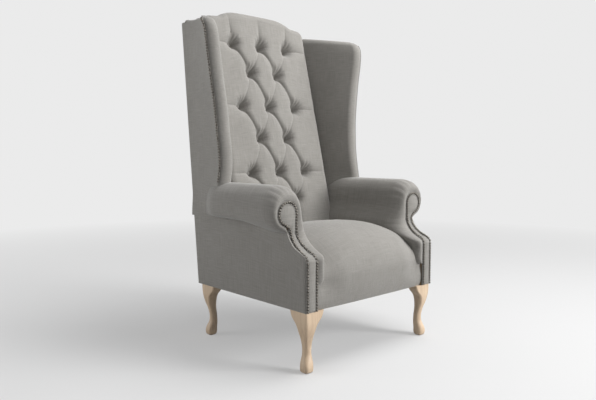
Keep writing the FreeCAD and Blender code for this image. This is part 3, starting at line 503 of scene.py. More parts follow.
def nearest_button(x, z):
    """Distance to the nearest button, and the direction from it."""
    distance = np.full_like(x, np.inf)
    bearing = np.zeros_like(x)
    for button_x, button_z in BUTTONS:
        away = np.hypot(x - button_x, z - button_z)
        bearing = np.where(away < distance, np.arctan2(z - button_z, x - button_x), bearing)
        distance = np.minimum(distance, away)
    return distance, bearing


# Top line of the crest: x and height
CREST = [
    (-0.262, 1.2535), (-0.24, 1.2555), (-0.215, 1.258), (-0.188, 1.262), (-0.164, 1.273), (-0.129, 1.284),
    (-0.072, 1.288), (0, 1.2885), (0.072, 1.288), (0.129, 1.284), (0.164, 1.273), (0.188, 1.262),
    (0.215, 1.258), (0.24, 1.2555), (0.262, 1.2535),
]
CREST_ROUND = 0.037
CREST_OVERTURN = math.radians(20)
CREST_FADE = 0.55
DRAWN_IN, DRAWN_REACH = 0.9, 0.0235
WELL_DEPTH, WELL_REACH = 0.0165, 0.0155
FAN_DEPTH, FAN_FOLDS, FAN_RADIUS, FAN_WIDTH = 0.0019, 13, 0.028, 0.012
SIDE_ROLL, SIDE_ROLL_WIDTH = 0.02, 0.028


def back_place(across, along):
    """Up the front of the back and over its crest, pushed in at creases, buttons and sides."""
    x = (across * 2 - 1) * HALF_BACK
    middle_z = flowing(CREST, x) - CREST_ROUND
    turn_z = middle_z + CREST_ROUND * math.sin(BUTTON_LEAN)
    middle_y = button_plane(turn_z) - CROWN + CREST_ROUND * math.cos(BUTTON_LEAN)
    straight = (turn_z - BACK_FOOT) / math.cos(BUTTON_LEAN)
    total = straight + CREST_ROUND * (math.pi - BUTTON_LEAN + CREST_OVERTURN)
    travel = along * total
    on_face = travel < straight
    flat_z = BACK_FOOT + travel * math.cos(BUTTON_LEAN)
    angle = math.pi - BUTTON_LEAN - np.clip(travel - straight, 0, None) / CREST_ROUND
    z = np.where(on_face, flat_z, middle_z + CREST_ROUND * np.sin(angle))
    y = np.where(on_face, button_plane(flat_z) - CROWN, middle_y + CREST_ROUND * np.cos(angle))
    normal_y = np.where(on_face, -math.cos(BUTTON_LEAN), np.cos(angle))
    normal_z = np.where(on_face, math.sin(BUTTON_LEAN), np.sin(angle))
    distance, bearing = nearest_button(x, flat_z)
    drawn = 1 - DRAWN_IN * np.exp(-((distance / DRAWN_REACH) ** 2))
    fade = 1 - CREST_FADE * step_between(straight + 0.02, total, travel)
    crease = (1 - tuft_height(x, flat_z) * drawn) * CROWN * fade
    well = WELL_DEPTH * np.exp(-((distance / WELL_REACH) ** 2))
    gathered = np.clip(1.2 * np.sin(bearing + 0.35), 0, 1)
    ring = np.exp(-(((distance - FAN_RADIUS) / FAN_WIDTH) ** 2))
    fan = FAN_DEPTH * np.cos(FAN_FOLDS * bearing) * ring * gathered
    tuck = SIDE_ROLL * (1 - rounded((HALF_BACK - np.abs(x)) / SIDE_ROLL_WIDTH))
    sink = crease + well + fan + tuck
    return stacked(x, y - normal_y * sink, z - normal_z * sink)


tufted = fabric_grid("tufted_back_cover", 221, 421, back_place, (0.6, 1.05))


def behind_back(places):
    """Against the inside of the outside back's board."""
    inside = outside_back(places[:, 2]) - BOARD - CLEARANCE - SETBACK
    places[:, 1] = np.maximum(places[:, 1], inside)
    return places


close_behind(tufted, behind_back)
smoothed(tufted, 80)
upholstered(tufted, ("tufted_back", "crest_roll"))


# Covered buttons
BUTTON_SIZE = (0.0118, 0.0118, 0.0055)
BUTTON_SINK = 0.012


def covered_button(x, height):
    """A domed button that leans with the back and sits deep in its well."""
    bpy.ops.mesh.primitive_uv_sphere_add(segments=20, ring_count=10, radius=1)
    button = named(bpy.context.object, "covered_button")
    forward = np.array([0, -math.cos(BUTTON_LEAN), math.sin(BUTTON_LEAN)])
    upward = np.array([0, math.sin(BUTTON_LEAN), math.cos(BUTTON_LEAN)])
    middle = np.array([x, button_plane(height) - SETBACK, height]) - forward * BUTTON_SINK
    dome = places_of(button) * BUTTON_SIZE
    set_places(button, middle + dome[:, :1] * (1, 0, 0) + dome[:, 1:2] * upward + dome[:, 2:] * forward)
    return button


buttons = joined([covered_button(x, height) for x, height in BUTTONS], "covered_buttons")
upholstered(buttons, ("back_buttons",))

# Arms: the cover starts at the facing's edge, rolls over it and runs back along the arm
SWEEP = [
    (0.20, 0.0), (0.37, 0.0), (0.378, 0.005), (0.385, 0.0155), (0.39, 0.029), (0.399, 0.0465),
    (0.412, 0.0645), (0.432, 0.081), (0.45, 0.088), (0.60, 0.088),
]
SCROLL_X, SCROLL_Z, SCROLL_R = (0.331, 0.515, 0.0425)


def sweep(height):
    """How far the arm's front stands back at a height."""
    return straight_between(SWEEP, height)


def ring_point(degrees, radius=SCROLL_R):
    """A point of the scroll's edge, or of a smaller ring in it."""
    turn = math.radians(degrees)
    return SCROLL_X + radius * math.cos(turn), SCROLL_Z + radius * math.sin(turn)


# Each row: share of the way round, x and height of the facing's edge, x and height of the arm behind it
ARM_EDGE = [
    (0.0, 0.3275, 0.452, 0.334, 0.452),
    (0.05, 0.338, 0.470, 0.352, 0.4585),
    (0.12, *ring_point(-50), 0.380, 0.474),
    (0.20, *ring_point(-15), 0.398, 0.503),
    (0.27, *ring_point(20), 0.4015, 0.533),
    (0.35, *ring_point(55), 0.386, 0.577),
    (0.42, *ring_point(80), 0.356, 0.602),
    (0.48, *ring_point(100), 0.326, 0.606),
    (0.55, *ring_point(130), 0.291, 0.597),
    (0.61, *ring_point(160), 0.269, 0.570),
    (0.66, *ring_point(185), 0.2585, 0.538),
    (0.71, 0.2895, 0.485, 0.2495, 0.500),
    (0.76, 0.2890, 0.460, 0.2385, 0.468),
    (0.80, 0.2885, 0.438, 0.2270, 0.440),
    (0.85, 0.2860, 0.410, 0.2230, 0.410),
    (0.89, 0.2815, 0.384, 0.2400, 0.383),
    (0.925, 0.2810, 0.350, 0.2480, 0.350),
    (0.955, 0.2810, 0.322, 0.2460, 0.323),
    (0.975, 0.2810, 0.307, 0.2475, 0.305),
    (0.99, 0.2810, 0.296, 0.2570, 0.293),
    (1.0, 0.2812, 0.288, 0.2780, 0.286),
]
# Seam between the roll and the outside arm: depth and height
SEAM = [
    (0.088, 0.442), (0.148, 0.45), (0.217, 0.464), (0.272, 0.475), (0.37, 0.478), (0.496, 0.477),
    (0.66, 0.471),
]
SEAM_START = 0.452
# Share of the way back that the front roll takes, of the way along that is hidden in the facing,
# and of the way round that is cover
FRONT_SHARE, HIDDEN_SHARE, COVER_SHARE = 0.22, 0.03, 0.88
TAIL_SLIMMER, TAIL_LOWER = 0.066, 0.013
INNER_X = 0.224
PLEATS, PLEAT_DEPTH = 61, 0.0017
HIDDEN_X, HIDDEN_DEPTH = 0.306, 0.03


def arm_point(across, run):
    """A point of the arm's cover, which rolls over the facing's edge and runs back."""
    edge_x, edge_z, body_x, body_z = columns_at(ARM_EDGE, across)
    front = sweep(edge_z)
    turn = np.clip(run / FRONT_SHARE, 0, 1) * math.pi / 2
    reach = np.hypot(body_x - edge_x, body_z - edge_z)
    # The roll is wide round the scroll and turns into a narrow lip beside the seat
    low_lip = step_between(0.84, 0.9, across)
    depth = 0.02 + reach * 0.85 - (0.013 + reach * 0.5) * low_lip
    lead = np.minimum(0.011 + 0.003 * low_lip, reach * (0.3 + 0.14 * low_lip))
    back_share = np.clip((run - FRONT_SHARE) / (1 - FRONT_SHARE), 0, 1)
    start = front + depth
    tail_y = outside_back(body_z) - BOARD - CLEARANCE
    y = front + depth * (1 - np.cos(turn)) - lead * np.sin(2 * turn) * np.cos(turn)
    y = np.where(run > FRONT_SHARE, start + (tail_y - start) * back_share, y)
    # Its outer edge follows the seam of the outside arm
    low = np.where(across > 0.5, 0, 1 - step_between(0.0, 0.2, across))
    body_z = body_z + (straight_between(SEAM, y) - SEAM_START) * low * step_between(0.1, 0.28, y)
    # Behind the wing's front edge the roll gets slimmer and goes into the wing
    tail = step_between(0.41, 0.57, y)
    outer = np.clip((body_x - SCROLL_X) / 0.07, 0, 1)
    upper = np.clip((body_z - 0.53) / 0.076, 0, 1)
    body_x = body_x - TAIL_SLIMMER * tail * outer
    body_z = body_z - TAIL_LOWER * tail * upper
    # The foot of its inside stands straight down beside the seat
    beside_seat = step_between(0.83, 0.92, across) * step_between(0.05, 0.16, y)
    body_x = body_x - (body_x - INNER_X) * beside_seat
    rolled = np.sin(turn) ** 0.9
    x = edge_x + (body_x - edge_x) * rolled
    z = edge_z + (body_z - edge_z) * rolled
    # Small pleats are drawn in round the scroll
    ring = step_between(0.1, 0.2, across) * (1 - step_between(0.62, 0.7, across))
    near = np.exp(-(((run / FRONT_SHARE - 0.55) / 0.42) ** 2))
    pull = PLEAT_DEPTH * ring * near * np.abs(np.sin(across * PLEATS)) ** 4
    x = x + (edge_x - body_x) / (reach + 1e-9) * pull
    z = z + (edge_z - body_z) / (reach + 1e-9) * pull
    return x, y, z


def arm_place(around, along):
    """Round the arm's section and back through its inside, along it from inside the facing."""
    across = np.clip(around / COVER_SHARE, 0, 1)
    inner = np.clip((around - COVER_SHARE) / (1 - COVER_SHARE), 0, 1)
    run = np.clip((along - HIDDEN_SHARE) / (1 - HIDDEN_SHARE), 0, 1)
    hidden = np.clip(1 - along / HIDDEN_SHARE, 0, 1)
    x, y, z = arm_point(across, run)
    first = arm_point(across * 0, run)
    x, y, z = (here + (there - here) * inner for here, there in zip((x, y, z), first))
    return stacked(x + (HIDDEN_X - x) * 0.18 * hidden, y + HIDDEN_DEPTH * hidden, z)


arm = tube_grid("arm_cover_right", 171, 131, arm_place, (0.55, 0.62))
smoothed(arm, 70)
both_sides(arm, "arm_cover", "arm_pad")

# Arm facings: up the inner edge, round the scroll and down the outer edge
FACING_IN = [
    (0.281, UNDERSIDE), (0.281, 0.384), (0.285, 0.405), (0.288, 0.425), (0.289, 0.46), (0.289, 0.5),
]
FACING_OUT = [
    (0.3345, 0.4755), (0.3285, 0.467), (0.327, 0.455), (0.3265, 0.432), (0.3275, 0.412), (0.331, 0.396),
    (0.332, 0.383), (0.332, UNDERSIDE),
]
FACING_BORDER, FACING_PUFF = 0.0035, 0.0028
FACING_CUTS, FACING_STEP = 60, 0.006
FACING_BOARD = 0.008


def facing_outline():
    """The facing's outline, from its outer foot round to its inner foot."""
    scroll = [ring_point(degrees) for degrees in range(190, -51, -10)]
    return (FACING_IN + scroll + FACING_OUT)[::-1]


def facing_piece(name):
    """A padded board with the facing's outline, bent along the arm's front."""
    outline = facing_outline()
    bpy.ops.mesh.primitive_circle_add(vertices=len(outline), radius=1, fill_type="NGON")
    piece = named(bpy.context.object, name)
    set_places(piece, [(x, 0, z) for x, z in outline])
    only(piece)
    bpy.ops.object.mode_set(mode="EDIT")
    for step in range(FACING_CUTS):
        height = UNDERSIDE + FACING_STEP * (step + 0.5)
        bpy.ops.mesh.select_all(action="SELECT")
        bpy.ops.mesh.bisect(plane_co=(0, 0, height), plane_no=(0, 0, 1))
    bpy.ops.mesh.select_all(action="SELECT")
    bpy.ops.mesh.inset(thickness=FACING_BORDER, use_boundary=True)
    bpy.ops.object.mode_set(mode="OBJECT")
    inner = np.zeros(len(piece.data.vertices), bool)
    for face in piece.data.polygons:
        if face.select:
            inner[list(face.vertices)] = True
    places = places_of(piece)
    places[:, 1] = sweep(places[:, 2]) - SETBACK - np.where(inner, FACING_PUFF, 0)
    set_places(piece, places)
    loops = np.zeros(len(piece.data.loops), int)
    piece.data.loops.foreach_get("vertex_index", loops)
    piece.data.uv_layers.active.data.foreach_set("uv", places[loops][:, (0, 2)].ravel())
    boarded(piece, FACING_BOARD)
    smoothed(piece, 40)
    return piece


both_sides(facing_piece("facing_cover_right"), "facing_cover", "arm_facing")

# Wings
# Each row: height at the front, x and depth of the rolled front edge's middle, share of the climb backwards
WING_EDGE = [
    (0.55, 0.348, 0.421, 0), (0.60, 0.345, 0.424, 0), (0.66, 0.336, 0.426, 0), (0.72, 0.333, 0.432, 0),
    (0.78, 0.336, 0.438, 0), (0.84, 0.339, 0.442, 0), (0.90, 0.345, 0.444, 0), (0.96, 0.353, 0.446, 0),
    (1.02, 0.361, 0.447, 0), (1.08, 0.370, 0.446, 0.02), (1.12, 0.375, 0.446, 0.15),
    (1.15, 0.378, 0.449, 0.35), (1.172, 0.380, 0.457, 0.6), (1.188, 0.380, 0.470, 0.8),
    (1.198, 0.379, 0.485, 0.92), (1.207, 0.377, 0.506, 1.0),
]
# Line where the wing meets the buttoned back: height and depth
WING_JUNCTION = [
    (0.55, 0.53), (0.596, 0.542), (0.702, 0.571), (0.809, 0.593), (0.894, 0.612), (0.963, 0.618),
    (1.071, 0.628), (1.141, 0.642), (1.226, 0.655),
]
WING_R = 0.028
NAIL_LINE = -0.008
WING_FOOT = 0.555
WING_TOP = 1.203
PANEL_TOP = 1.184
WING_CLIMB = 0.032
ROLL_ROUND = 0.021
OUTER_ROUND, OUTER_INSET = 0.022, 0.006
ROLL_START, ROLL_END = math.radians(-17), math.radians(-150)
WING_HOLLOW = 1.8
GROOVE_DEPTH, GROOVE_SHARE = 0.0035, 0.07
WING_TUCK = 0.02
SPINE_X, SPINE_RUN = 0.298, 0.15
# Shares of the way round the wing's padding at which its sides end
OUTER_SIDE, FRONT_ROLL, INNER_SIDE, BACK_TUCK = 0.25, 0.5, 0.88, 0.94


def wing_outer(height, share):
    """Outer face of the wing at a level, from the nail line back to the outside back."""
    edge_x, edge_y, climb = columns_at(WING_EDGE, height)
    rear = outside_back(height + climb * WING_CLIMB)
    y = edge_y + NAIL_LINE + (rear - edge_y - NAIL_LINE) * share
    x = HALF_BASE + (edge_x + WING_R - HALF_BASE) * (1 - share) ** WING_HOLLOW
    x = x - GROOVE_DEPTH * np.clip(1 - share / GROOVE_SHARE, 0, 1) ** 2
    return x, y


def climbed(height, y):
    """Height of a point of a level, which rises to the back near the wing's top."""
    edge_y, climb = columns_at(WING_EDGE, height)[1:]
    rear = outside_back(height + climb * WING_CLIMB)
    return height + climb * WING_CLIMB * (y - edge_y) / (rear - edge_y)


def wing_section(height, turn):
    """Once round the wing's padding: outer side, rolled front edge, inner side, back."""
    edge_x, edge_y, climb = columns_at(WING_EDGE, height)
    x, y = wing_outer(height, np.clip(1 - turn / OUTER_SIDE, 0, 1))
    x = x - BOARD
    roll_share = (turn - OUTER_SIDE) / (FRONT_ROLL - OUTER_SIDE)
    angle = ROLL_START + roll_share * (ROLL_END - ROLL_START)
    roll = (turn > OUTER_SIDE) & (turn <= FRONT_ROLL)
    x = np.where(roll, edge_x + WING_R * np.cos(angle), x)
    y = np.where(roll, edge_y + WING_R * np.sin(angle), y)
    share = np.clip((turn - FRONT_ROLL) / (INNER_SIDE - FRONT_ROLL), 0, 1)
    join_x = HALF_BACK - 0.003
    join_y = flowing(WING_JUNCTION, height + climb * WING_CLIMB * 0.7)
    start_x = edge_x + WING_R * math.cos(ROLL_END)
    start_y = edge_y + WING_R * math.sin(ROLL_END)
    swell = np.sin(np.pi * share)
    inner = turn > FRONT_ROLL
    x = np.where(inner, start_x + (join_x - start_x) * share - 0.005 * swell, x)
    y = np.where(inner, start_y + (join_y - start_y) * share - 0.003 * swell, y)
    past = np.clip((turn - INNER_SIDE) / (BACK_TUCK - INNER_SIDE), 0, 1)
    rear = outside_back(height + climb * WING_CLIMB)
    x = np.where(turn > INNER_SIDE, join_x + WING_TUCK * past, x)
    y = np.where(turn > INNER_SIDE, join_y + (rear - join_y) * past, y)
    across_back = np.clip((turn - BACK_TUCK) / (1 - BACK_TUCK), 0, 1)
    tucked_x = join_x + WING_TUCK
    x = np.where(turn > BACK_TUCK, tucked_x + (HALF_BASE - BOARD - tucked_x) * across_back, x)
    return x, np.minimum(y, rear - BOARD)


def wing_place(around, along):
    """The wing's padding, section on section, drawn in towards a spine to round its top."""
    level = np.interp(along, (0, 0.8, 1), (0, 0.93, 1))
    height = WING_FOOT + (WING_TOP - WING_FOOT) * level
    x, y = wing_section(height, around)
    edge_x, edge_y = columns_at(WING_EDGE, height)[:2]
    spine_y = np.maximum(y, edge_y)
    spine_x = edge_x + (SPINE_X - edge_x) * np.clip((spine_y - edge_y) / SPINE_RUN, 0, 1)
    from_outside = step_between(0.38, 0.25, around)
    depth = ROLL_ROUND + OUTER_ROUND * from_outside
    inset = (ROLL_ROUND + OUTER_INSET * from_outside) * (1 - rounded((WING_TOP - height) / depth))
    gap = np.hypot(x - spine_x, y - spine_y)
    keep = np.clip((gap - inset) / np.maximum(gap, 1e-6), 0.02, 1)
    x = spine_x + (x - spine_x) * keep
    y = spine_y + (y - spine_y) * keep
    return stacked(x, y, climbed(height, y))


wing = tube_grid("wing_cover_right", 181, 141, wing_place, (0.8, 0.72))
smoothed(wing, 70)
both_sides(wing, "wing_cover", "wing_pad")

# Outside wings, outside arms and outside back: covered boards with soft edges
PANEL_FOOT = 0.47
PUFF = 0.0022
PUFF_BASE = 0.0016
PANEL_BOARD = 0.0052
PANEL_FLAT_X = HALF_BASE + 0.004
PANEL_LIFT, PANEL_CORNER_DROP, PANEL_CORNER_SHARE = 0.011, 0.009, 0.045


def wing_panel_place(across, along):
    """Flat behind the arm, following the wing's hollow above it, with a rounded rear top corner."""
    height = PANEL_FOOT + (PANEL_TOP - PANEL_FOOT) * along
    x, y = wing_outer(np.maximum(height, WING_FOOT), across)
    x = PANEL_FLAT_X + (x - PANEL_FLAT_X) * step_between(0.475, 0.56, height)
    border = np.minimum(np.minimum(across, 1 - across) * 0.26, (1 - along) * 0.75)
    z = np.where(height < WING_FOOT, height, climbed(height, y))
    corner = 1 - rounded((1 - across) / PANEL_CORNER_SHARE)
    z = z + (PANEL_LIFT * across - PANEL_CORNER_DROP * corner) * along ** 8
    return stacked(x + PUFF * rounded(border / 0.006) - PUFF_BASE, y, z)


wing_panel = fabric_grid("outside_wing_cover_right", 61, 91, wing_panel_place, (0.28, 0.78))
boarded(wing_panel, PANEL_BOARD)
smoothed(wing_panel, 50)
both_sides(wing_panel, "outside_wing_cover", "outside_wing")

# Top of the outside arm behind the facing's edge: depth and height
ARM_PANEL_RISE = [
    (-0.01, 0.384), (0.006, 0.384), (0.03, 0.396), (0.05, 0.405), (0.066, 0.417), (0.082, 0.437),
    (0.09, 0.46), (0.2, 0.5),
]
ARM_PANEL_FRONT = 0.003


def outside_arm_place(across, along):
    """From the base up behind the seam of the roll, back to the raked edge of the outside back."""
    y = ARM_PANEL_FRONT + (BACK_FOOT_DEPTH - ARM_PANEL_FRONT) * across
    seam = straight_between(SEAM, np.maximum(y, SEAM[0][0]))
    top = np.minimum(seam + 0.012, straight_between(ARM_PANEL_RISE, y))
    z = UNDERSIDE + (top - UNDERSIDE) * along
    y = y + (z - UNDERSIDE) * BACK_RAKE * step_between(0.3, 1.0, across)
    border = np.minimum(np.minimum(across, 1 - across) * 0.6, along * 0.26)
    return stacked(HALF_BASE - PUFF_BASE + PUFF * rounded(border / 0.007), y, z)


arm_panel = fabric_grid("outside_arm_cover_right", 121, 61, outside_arm_place, (0.62, 0.27))
boarded(arm_panel, PANEL_BOARD)
smoothed(arm_panel, 50)
both_sides(arm_panel, "outside_arm_cover", "outside_arm")

BACK_PANEL_TOP = 1.2485
CREST_END_X, CREST_END = 0.26, 1.2535
CREST_FOLLOWED = 0.55
CORNER_DROP = 0.033
BACK_PUFF, BACK_PUFF_BASE, BACK_BOARD = 0.003, 0.0025, 0.0045


def outside_back_place(across, along):
    """The whole outside back, whose top follows the crest and drops at the wings."""
    x = (1 - across * 2) * (HALF_BASE - 0.0005)
    crest = flowing(CREST, np.clip(np.abs(x), 0, CREST_END_X))
    top = BACK_PANEL_TOP + (crest - CREST_END) * CREST_FOLLOWED
    top = top - CORNER_DROP * step_between(0.25, 0.305, np.abs(x))
    z = UNDERSIDE + (top - UNDERSIDE) * along
    border = np.minimum(np.minimum(across, 1 - across) * 0.66, np.minimum(along, 1 - along))
    return stacked(x, outside_back(z) + BACK_PUFF * rounded(border / 0.009) - BACK_PUFF_BASE, z)


back_panel = fabric_grid("outside_back_cover", 121, 161, outside_back_place, (0.66, 1.05))
boarded(back_panel, BACK_BOARD)
smoothed(back_panel, 50)
upholstered(back_panel, ("outside_back",))

# Seat: one dome that rolls over the front rail
# Each row: share of the way from the front's foot, depth and height in the middle of the seat
SEAT_LINE = [
    (0.0, 0.004, UNDERSIDE), (0.1, -0.004, 0.235), (0.2, -0.0095, 0.275), (0.3, -0.009, 0.320),
    (0.38, 0.003, 0.362), (0.46, 0.030, 0.401), (0.54, 0.075, 0.432), (0.64, 0.140, 0.4515),
    (0.74, 0.205, 0.4565), (0.86, 0.32, 0.447), (1.0, 0.485, 0.416),
]
SEAT_HALF = 0.281
SEAT_CROWN, CROWN_HALF = 0.036, 0.228
SEAT_SIDE_X, SEAT_SIDE_WIDTH, SEAT_SIDE_DROP = 0.242, 0.03, 0.05
LIP_RECESS = 0.0135
SEAT_BED = 0.31
BED_FRONT, BED_REAR = 0.02, 0.48


def seat_place(across, along):
    """Up the front, over the front roll and back across the crowned seat."""
    side = np.abs(across * 2 - 1)
    x = (across * 2 - 1) * SEAT_HALF
    y, z = columns_at(SEAT_LINE, along)
    top = step_between(0.22, 0.5, along)
    drop = SEAT_CROWN * np.clip(np.abs(x) / CROWN_HALF, 0, 1) ** 2.6
    beyond = np.clip((np.abs(x) - SEAT_SIDE_X) / SEAT_SIDE_WIDTH, 0, 1)
    drop = drop + SEAT_SIDE_DROP * beyond ** 1.6
    z = z - drop * top
    y = y + 0.006 * side ** 3 * (1 - top * 0.4)
    y = y + 0.018 * beyond * top * (1 - step_between(0.5, 0.7, along))
    # The front goes back a little on both sides, beside the arms' lips
    beside_lip = step_between(0.15, 0.25, np.abs(x)) * step_between(0.215, 0.29, z)
    y = y + LIP_RECESS * beside_lip * (1 - step_between(0.36, 0.42, z))
    return stacked(x, y, z)


seat = fabric_grid("seat_cover", 121, 121, seat_place, (0.6, 0.75))


def under_seat(places):
    """Down to the seat's bed at the sides and the back, and to the foot of the front."""
    y = places[:, 1] + SETBACK
    z = np.where(y < 0.012, UNDERSIDE + 0.001, np.minimum(places[:, 2], SEAT_BED))
    return np.stack([places[:, 0], np.clip(y, BED_FRONT, BED_REAR) - SETBACK, z], -1)


close_behind(seat, under_seat)
smoothed(seat, 60)
upholstered(seat, ("seat_cushion",))

# Cabriole legs, turned outwards
# Each row: height, outward reach, inward reach, half width, place of the side corners, rounding
LEG = [
    (0.0, 0.023, 0.005, 0.014, 0.009, 0.005), (0.004, 0.0285, 0.0095, 0.0195, 0.0092, 0.010),
    (0.012, 0.0310, 0.0125, 0.0215, 0.0092, 0.013), (0.024, 0.0308, 0.013, 0.0215, 0.009, 0.013),
    (0.034, 0.0275, 0.0135, 0.0205, 0.007, 0.0135), (0.043, 0.0228, 0.0145, 0.0185, 0.0045, 0.014),
    (0.057, 0.0165, 0.0148, 0.0155, 0.001, 0.0142), (0.070, 0.0152, 0.0142, 0.015, 0.0003, 0.0135),
    (0.082, 0.0158, 0.0135, 0.0153, 0.001, 0.012), (0.107, 0.022, 0.0108, 0.019, 0.005, 0.009),
    (0.136, 0.0335, 0.0118, 0.027, 0.010, 0.0105), (0.161, 0.0402, 0.018, 0.036, 0.007, 0.009),
    (0.181, 0.0425, 0.032, 0.049, -0.006, 0.0075), (0.203, 0.043, 0.036, 0.055, -0.0125, 0.006),
]
# Each leg: its end and side, x and depth of its middle, and the heading of its knee in degrees
LEG_PLACES = [
    ("front", "right", 0.297, 0.0325, -45), ("front", "left", -0.297, 0.0325, -135),
    ("back", "right", 0.293, 0.571, 45), ("back", "left", -0.293, 0.571, 135),
]


def leg_place(around, along):
    """A leg that points along x: a rounded four-cornered section, which changes with the height."""
    height = along * UNDERSIDE
    outward, inward, half, side, rounding = columns_at(LEG, height)
    heading = around * TAU
    corners = np.stack([
        np.stack([outward - rounding, outward * 0], -1),
        np.stack([side, half - rounding], -1),
        np.stack([rounding - inward, inward * 0], -1),
        np.stack([side, rounding - half], -1),
    ])
    direction = np.stack([np.cos(heading), np.sin(heading)], -1)
    farthest = (corners * direction).sum(-1).argmax(0)
    corner = np.take_along_axis(corners, farthest[None, :, None], 0)[0]
    point = corner + rounding[:, None] * direction
    return np.stack([point[:, 0], point[:, 1], height], -1)


leg_form = tube_grid("leg_form", 72, 90, leg_place, (0.2, 0.2))
leg_points = places_of(leg_form)
for end, side, x, y, heading in LEG_PLACES:
    only(leg_form)
    bpy.ops.object.duplicate()
    leg = named(bpy.context.object, "turned_out_leg_" + end + "_" + side)
    turn = math.radians(heading)
    turned = leg_points @ np.array([
        [math.cos(turn), math.sin(turn), 0], [-math.sin(turn), math.cos(turn), 0], [0, 0, 1],
    ])
    set_places(leg, turned + (x, y - SETBACK, 0))
    smoothed(leg, 35)
    finished(leg, OAK, ("leg_" + end + "_" + side,))
bpy.data.objects.remove(leg_form)

# Nails, in close rows round the facings and behind the wings' front rolls
NAIL_PITCH = 0.0096
NAIL_R = 0.0045
NAIL_DOME, NAIL_SHANK = 0.62, -0.25
FACING_NAIL_RAISE, WING_NAIL_RAISE = 0.0046, 0.0045
NAIL_RING = 0.0375
NAIL_INSET = 0.0065
LOWEST_NAIL = 0.208
NAILS_STRAIGHT = [0.369, 0.374, 0.378, 0.3815, 0.385]
NAILS_OUTER = [(0.3225, 0.398), (0.3205, 0.415), (0.3195, 0.435), (0.3205, 0.455), (0.3245, 0.4675)]
NAILS_INNER = [
    (0.2945, 0.49), (0.2945, 0.465), (0.294, 0.435), (0.2925, 0.42), (0.2905, 0.406), (0.2885, 0.395),
]
WING_NAILS_FOOT = 0.61
WING_NAIL_NORMAL = (0.9, -0.436, 0.0)


def evenly(points):
    """Points about a nail's pitch apart, along a line through the given points."""
    points = np.array(points, float)
    lengths = np.r_[0, np.cumsum(np.linalg.norm(np.diff(points, axis=0), axis=1))]
    count = int(round(lengths[-1] / NAIL_PITCH))
    where = np.linspace(0, lengths[-1], count + 1)
    return np.stack([np.interp(where, lengths, column) for column in points.T], -1)


bpy.ops.mesh.primitive_uv_sphere_add(segments=10, ring_count=6, radius=1)
nail_form = named(bpy.context.object, "nail_form")
nail_points = places_of(nail_form).astype(float)
nail_points[:, 2] = np.maximum(nail_points[:, 2], NAIL_SHANK) * NAIL_DOME


def nail_row(name, centres, normals):
    """Domed nail heads at the given places, each facing along its normal."""
    heads = []
    for centre, normal in zip(centres, normals):
        only(nail_form)
        bpy.ops.object.duplicate()
        head = bpy.context.object
        normal = Vector(normal).normalized()
        side = normal.orthogonal().normalized()
        axes = np.array([side[:], normal.cross(side)[:], normal[:]])
        set_places(head, nail_points * NAIL_R @ axes + centre)
        heads.append(head)
    return joined(heads, name)


def facing_nails():
    """Up the facing's outer edge, round the scroll and down its inner edge."""
    outline = [(HALF_BASE - NAIL_INSET, z) for z in [LOWEST_NAIL] + NAILS_STRAIGHT]
    outline += NAILS_OUTER
    outline += [ring_point(degrees, NAIL_RING) for degrees in range(-62, 191, 8)]
    outline += NAILS_INNER
    outline += [(0.2875 - 0.1 * (0.385 - z), z) for z in NAILS_STRAIGHT[::-1]]
    outline += [(0.2865, LOWEST_NAIL)]
    line = evenly([(x, float(sweep(z)), z) for x, z in outline])
    levels = np.linspace(0.2, 0.6, 401)
    tilt = np.interp(line[:, 2], levels, np.gradient(sweep(levels), levels))
    normals = np.stack([tilt * 0, -np.ones_like(tilt), tilt], -1)
    normals /= np.linalg.norm(normals, axis=1)[:, None]
    return line + normals * FACING_NAIL_RAISE - (0, SETBACK, 0), normals


def wing_nails():
    """Up the outer face of the wing, just behind its front roll."""
    heights = np.linspace(WING_NAILS_FOOT, PANEL_TOP - 0.003, 300)
    edge_x, edge_y = columns_at(WING_EDGE, heights)[:2]
    nail_x, nail_y = edge_x + WING_R - 0.0018, edge_y + NAIL_LINE - 0.0002
    line = evenly(np.stack([nail_x, nail_y, climbed(heights, nail_y)], -1))
    normals = np.tile(WING_NAIL_NORMAL, (len(line), 1))
    return line + normals * WING_NAIL_RAISE - (0, SETBACK, 0), normals


for label, maker in (("facing", facing_nails), ("wing", wing_nails)):
    centres, normals = maker()
    for side, sign in (("right", 1), ("left", -1)):
        row = nail_row(label + "_nails_" + side, centres * (sign, 1, 1), normals * (sign, 1, 1))
        finished(row, NAIL)
bpy.data.objects.remove(nail_form)


# Studio
BACKDROP = (0.83, 0.83, 0.83, 1)
FADE_START, FADE_END = 0.9, 4.2
FLOOR_LIFT = 0.31
WORLD_LIGHT = 0.19


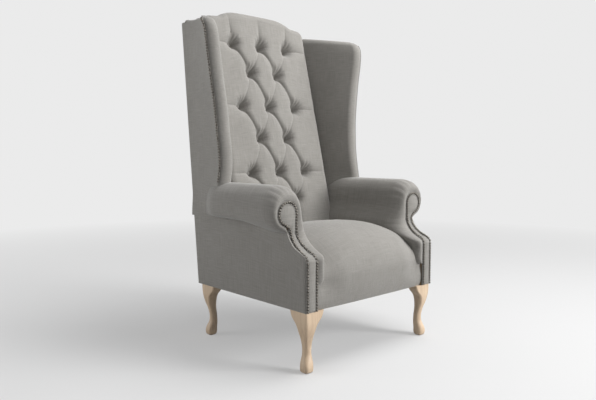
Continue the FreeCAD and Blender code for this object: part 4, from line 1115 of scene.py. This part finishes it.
def studio():
    """A pale floor that fades into the backdrop's colour, and a plain world light."""
    bpy.ops.mesh.primitive_grid_add(x_subdivisions=2, y_subdivisions=2, size=40)
    floor = bpy.context.object
    floor.name = "floor"
    finish = Finish("pale_floor", (0.4, 0.4, 0.4), roughness=0.9)
    place = finish.place()
    reach = finish.node("ShaderNodeVectorMath", {"operation": "LENGTH"}, [place], "Value")
    far = finish.range(reach, FADE_START, FADE_END, 0.0, 1.0)
    glow = finish.node("ShaderNodeEmission", {}, {"Color": BACKDROP})
    camera_ray = finish.node("ShaderNodeLightPath", {}, {}, "Is Camera Ray")
    lift = finish.node("ShaderNodeEmission", {}, {"Strength": camera_ray * FLOOR_LIFT})
    lifted = finish.node("ShaderNodeAddShader", {}, [Wave(finish, finish.shader.outputs[0]), lift])
    mixed = finish.node("ShaderNodeMixShader", {}, {0: far, 1: lifted, 2: glow})
    output = next(node for node in finish.tree.nodes if node.type == "OUTPUT_MATERIAL")
    finish.tree.links.new(mixed.socket, output.inputs["Surface"])
    floor.data.materials.append(finish.material)
    world = bpy.data.worlds.new("studio")
    bpy.context.scene.world = world
    world.use_nodes = True
    tree = world.node_tree
    seen = tree.nodes["Background"]
    seen.inputs["Color"].default_value = BACKDROP
    light = tree.nodes.new("ShaderNodeBackground")
    light.inputs["Color"].default_value = (0.97, 0.98, 1.0, 1)
    light.inputs["Strength"].default_value = WORLD_LIGHT
    path = tree.nodes.new("ShaderNodeLightPath")
    either = tree.nodes.new("ShaderNodeMath")
    either.operation = "MAXIMUM"
    tree.links.new(path.outputs["Is Camera Ray"], either.inputs[0])
    tree.links.new(path.outputs["Is Glossy Ray"], either.inputs[1])
    choice = tree.nodes.new("ShaderNodeMixShader")
    tree.links.new(either.outputs[0], choice.inputs[0])
    tree.links.new(light.outputs[0], choice.inputs[1])
    tree.links.new(seen.outputs[0], choice.inputs[2])
    tree.links.new(choice.outputs[0], tree.nodes["World Output"].inputs["Surface"])


def lamp(name, place, aim, size, power):
    """A round soft lamp, its size in metres and its power in watts."""
    data = bpy.data.lights.new(name, "AREA")
    data.shape = "DISK"
    data.size = size
    data.energy = power
    thing = bpy.data.objects.new(name, data)
    bpy.context.scene.collection.objects.link(thing)
    thing.location = place
    thing.rotation_euler = (Vector(aim) - Vector(place)).to_track_quat("-Z", "Y").to_euler()


studio()
lamp("key", (2.0, -3.6, 1.9), (0, 0, 0.6), 1.8, 171)
lamp("overhead", (1.0, -0.7, 3.4), (0.1, 0, 0.2), 2.2, 86)
lamp("fill", (-3.0, 2.0, 1.0), (-0.6, 0.1, 0.4), 2.2, 45)

# The camera, fitted to the photograph, whose width is 596 pixels
PHOTO_WIDTH = 596
FOCAL_PIXELS = 591.16
SENSOR = 36
PITCH_DOWN, TURN_RIGHT = 0.079, 0.7395
camera_data = bpy.data.cameras.new("camera")
camera_data.sensor_width = SENSOR
camera_data.lens = FOCAL_PIXELS / PHOTO_WIDTH * SENSOR
camera = bpy.data.objects.new("camera", camera_data)
bpy.context.scene.collection.objects.link(camera)
camera.location = (-1.5848, -1.3372 - SETBACK, 0.7102)
camera.rotation_euler = (math.pi / 2 - PITCH_DOWN, 0, -TURN_RIGHT)
bpy.context.scene.camera = camera
bpy.context.scene.view_settings.view_transform = "Standard"
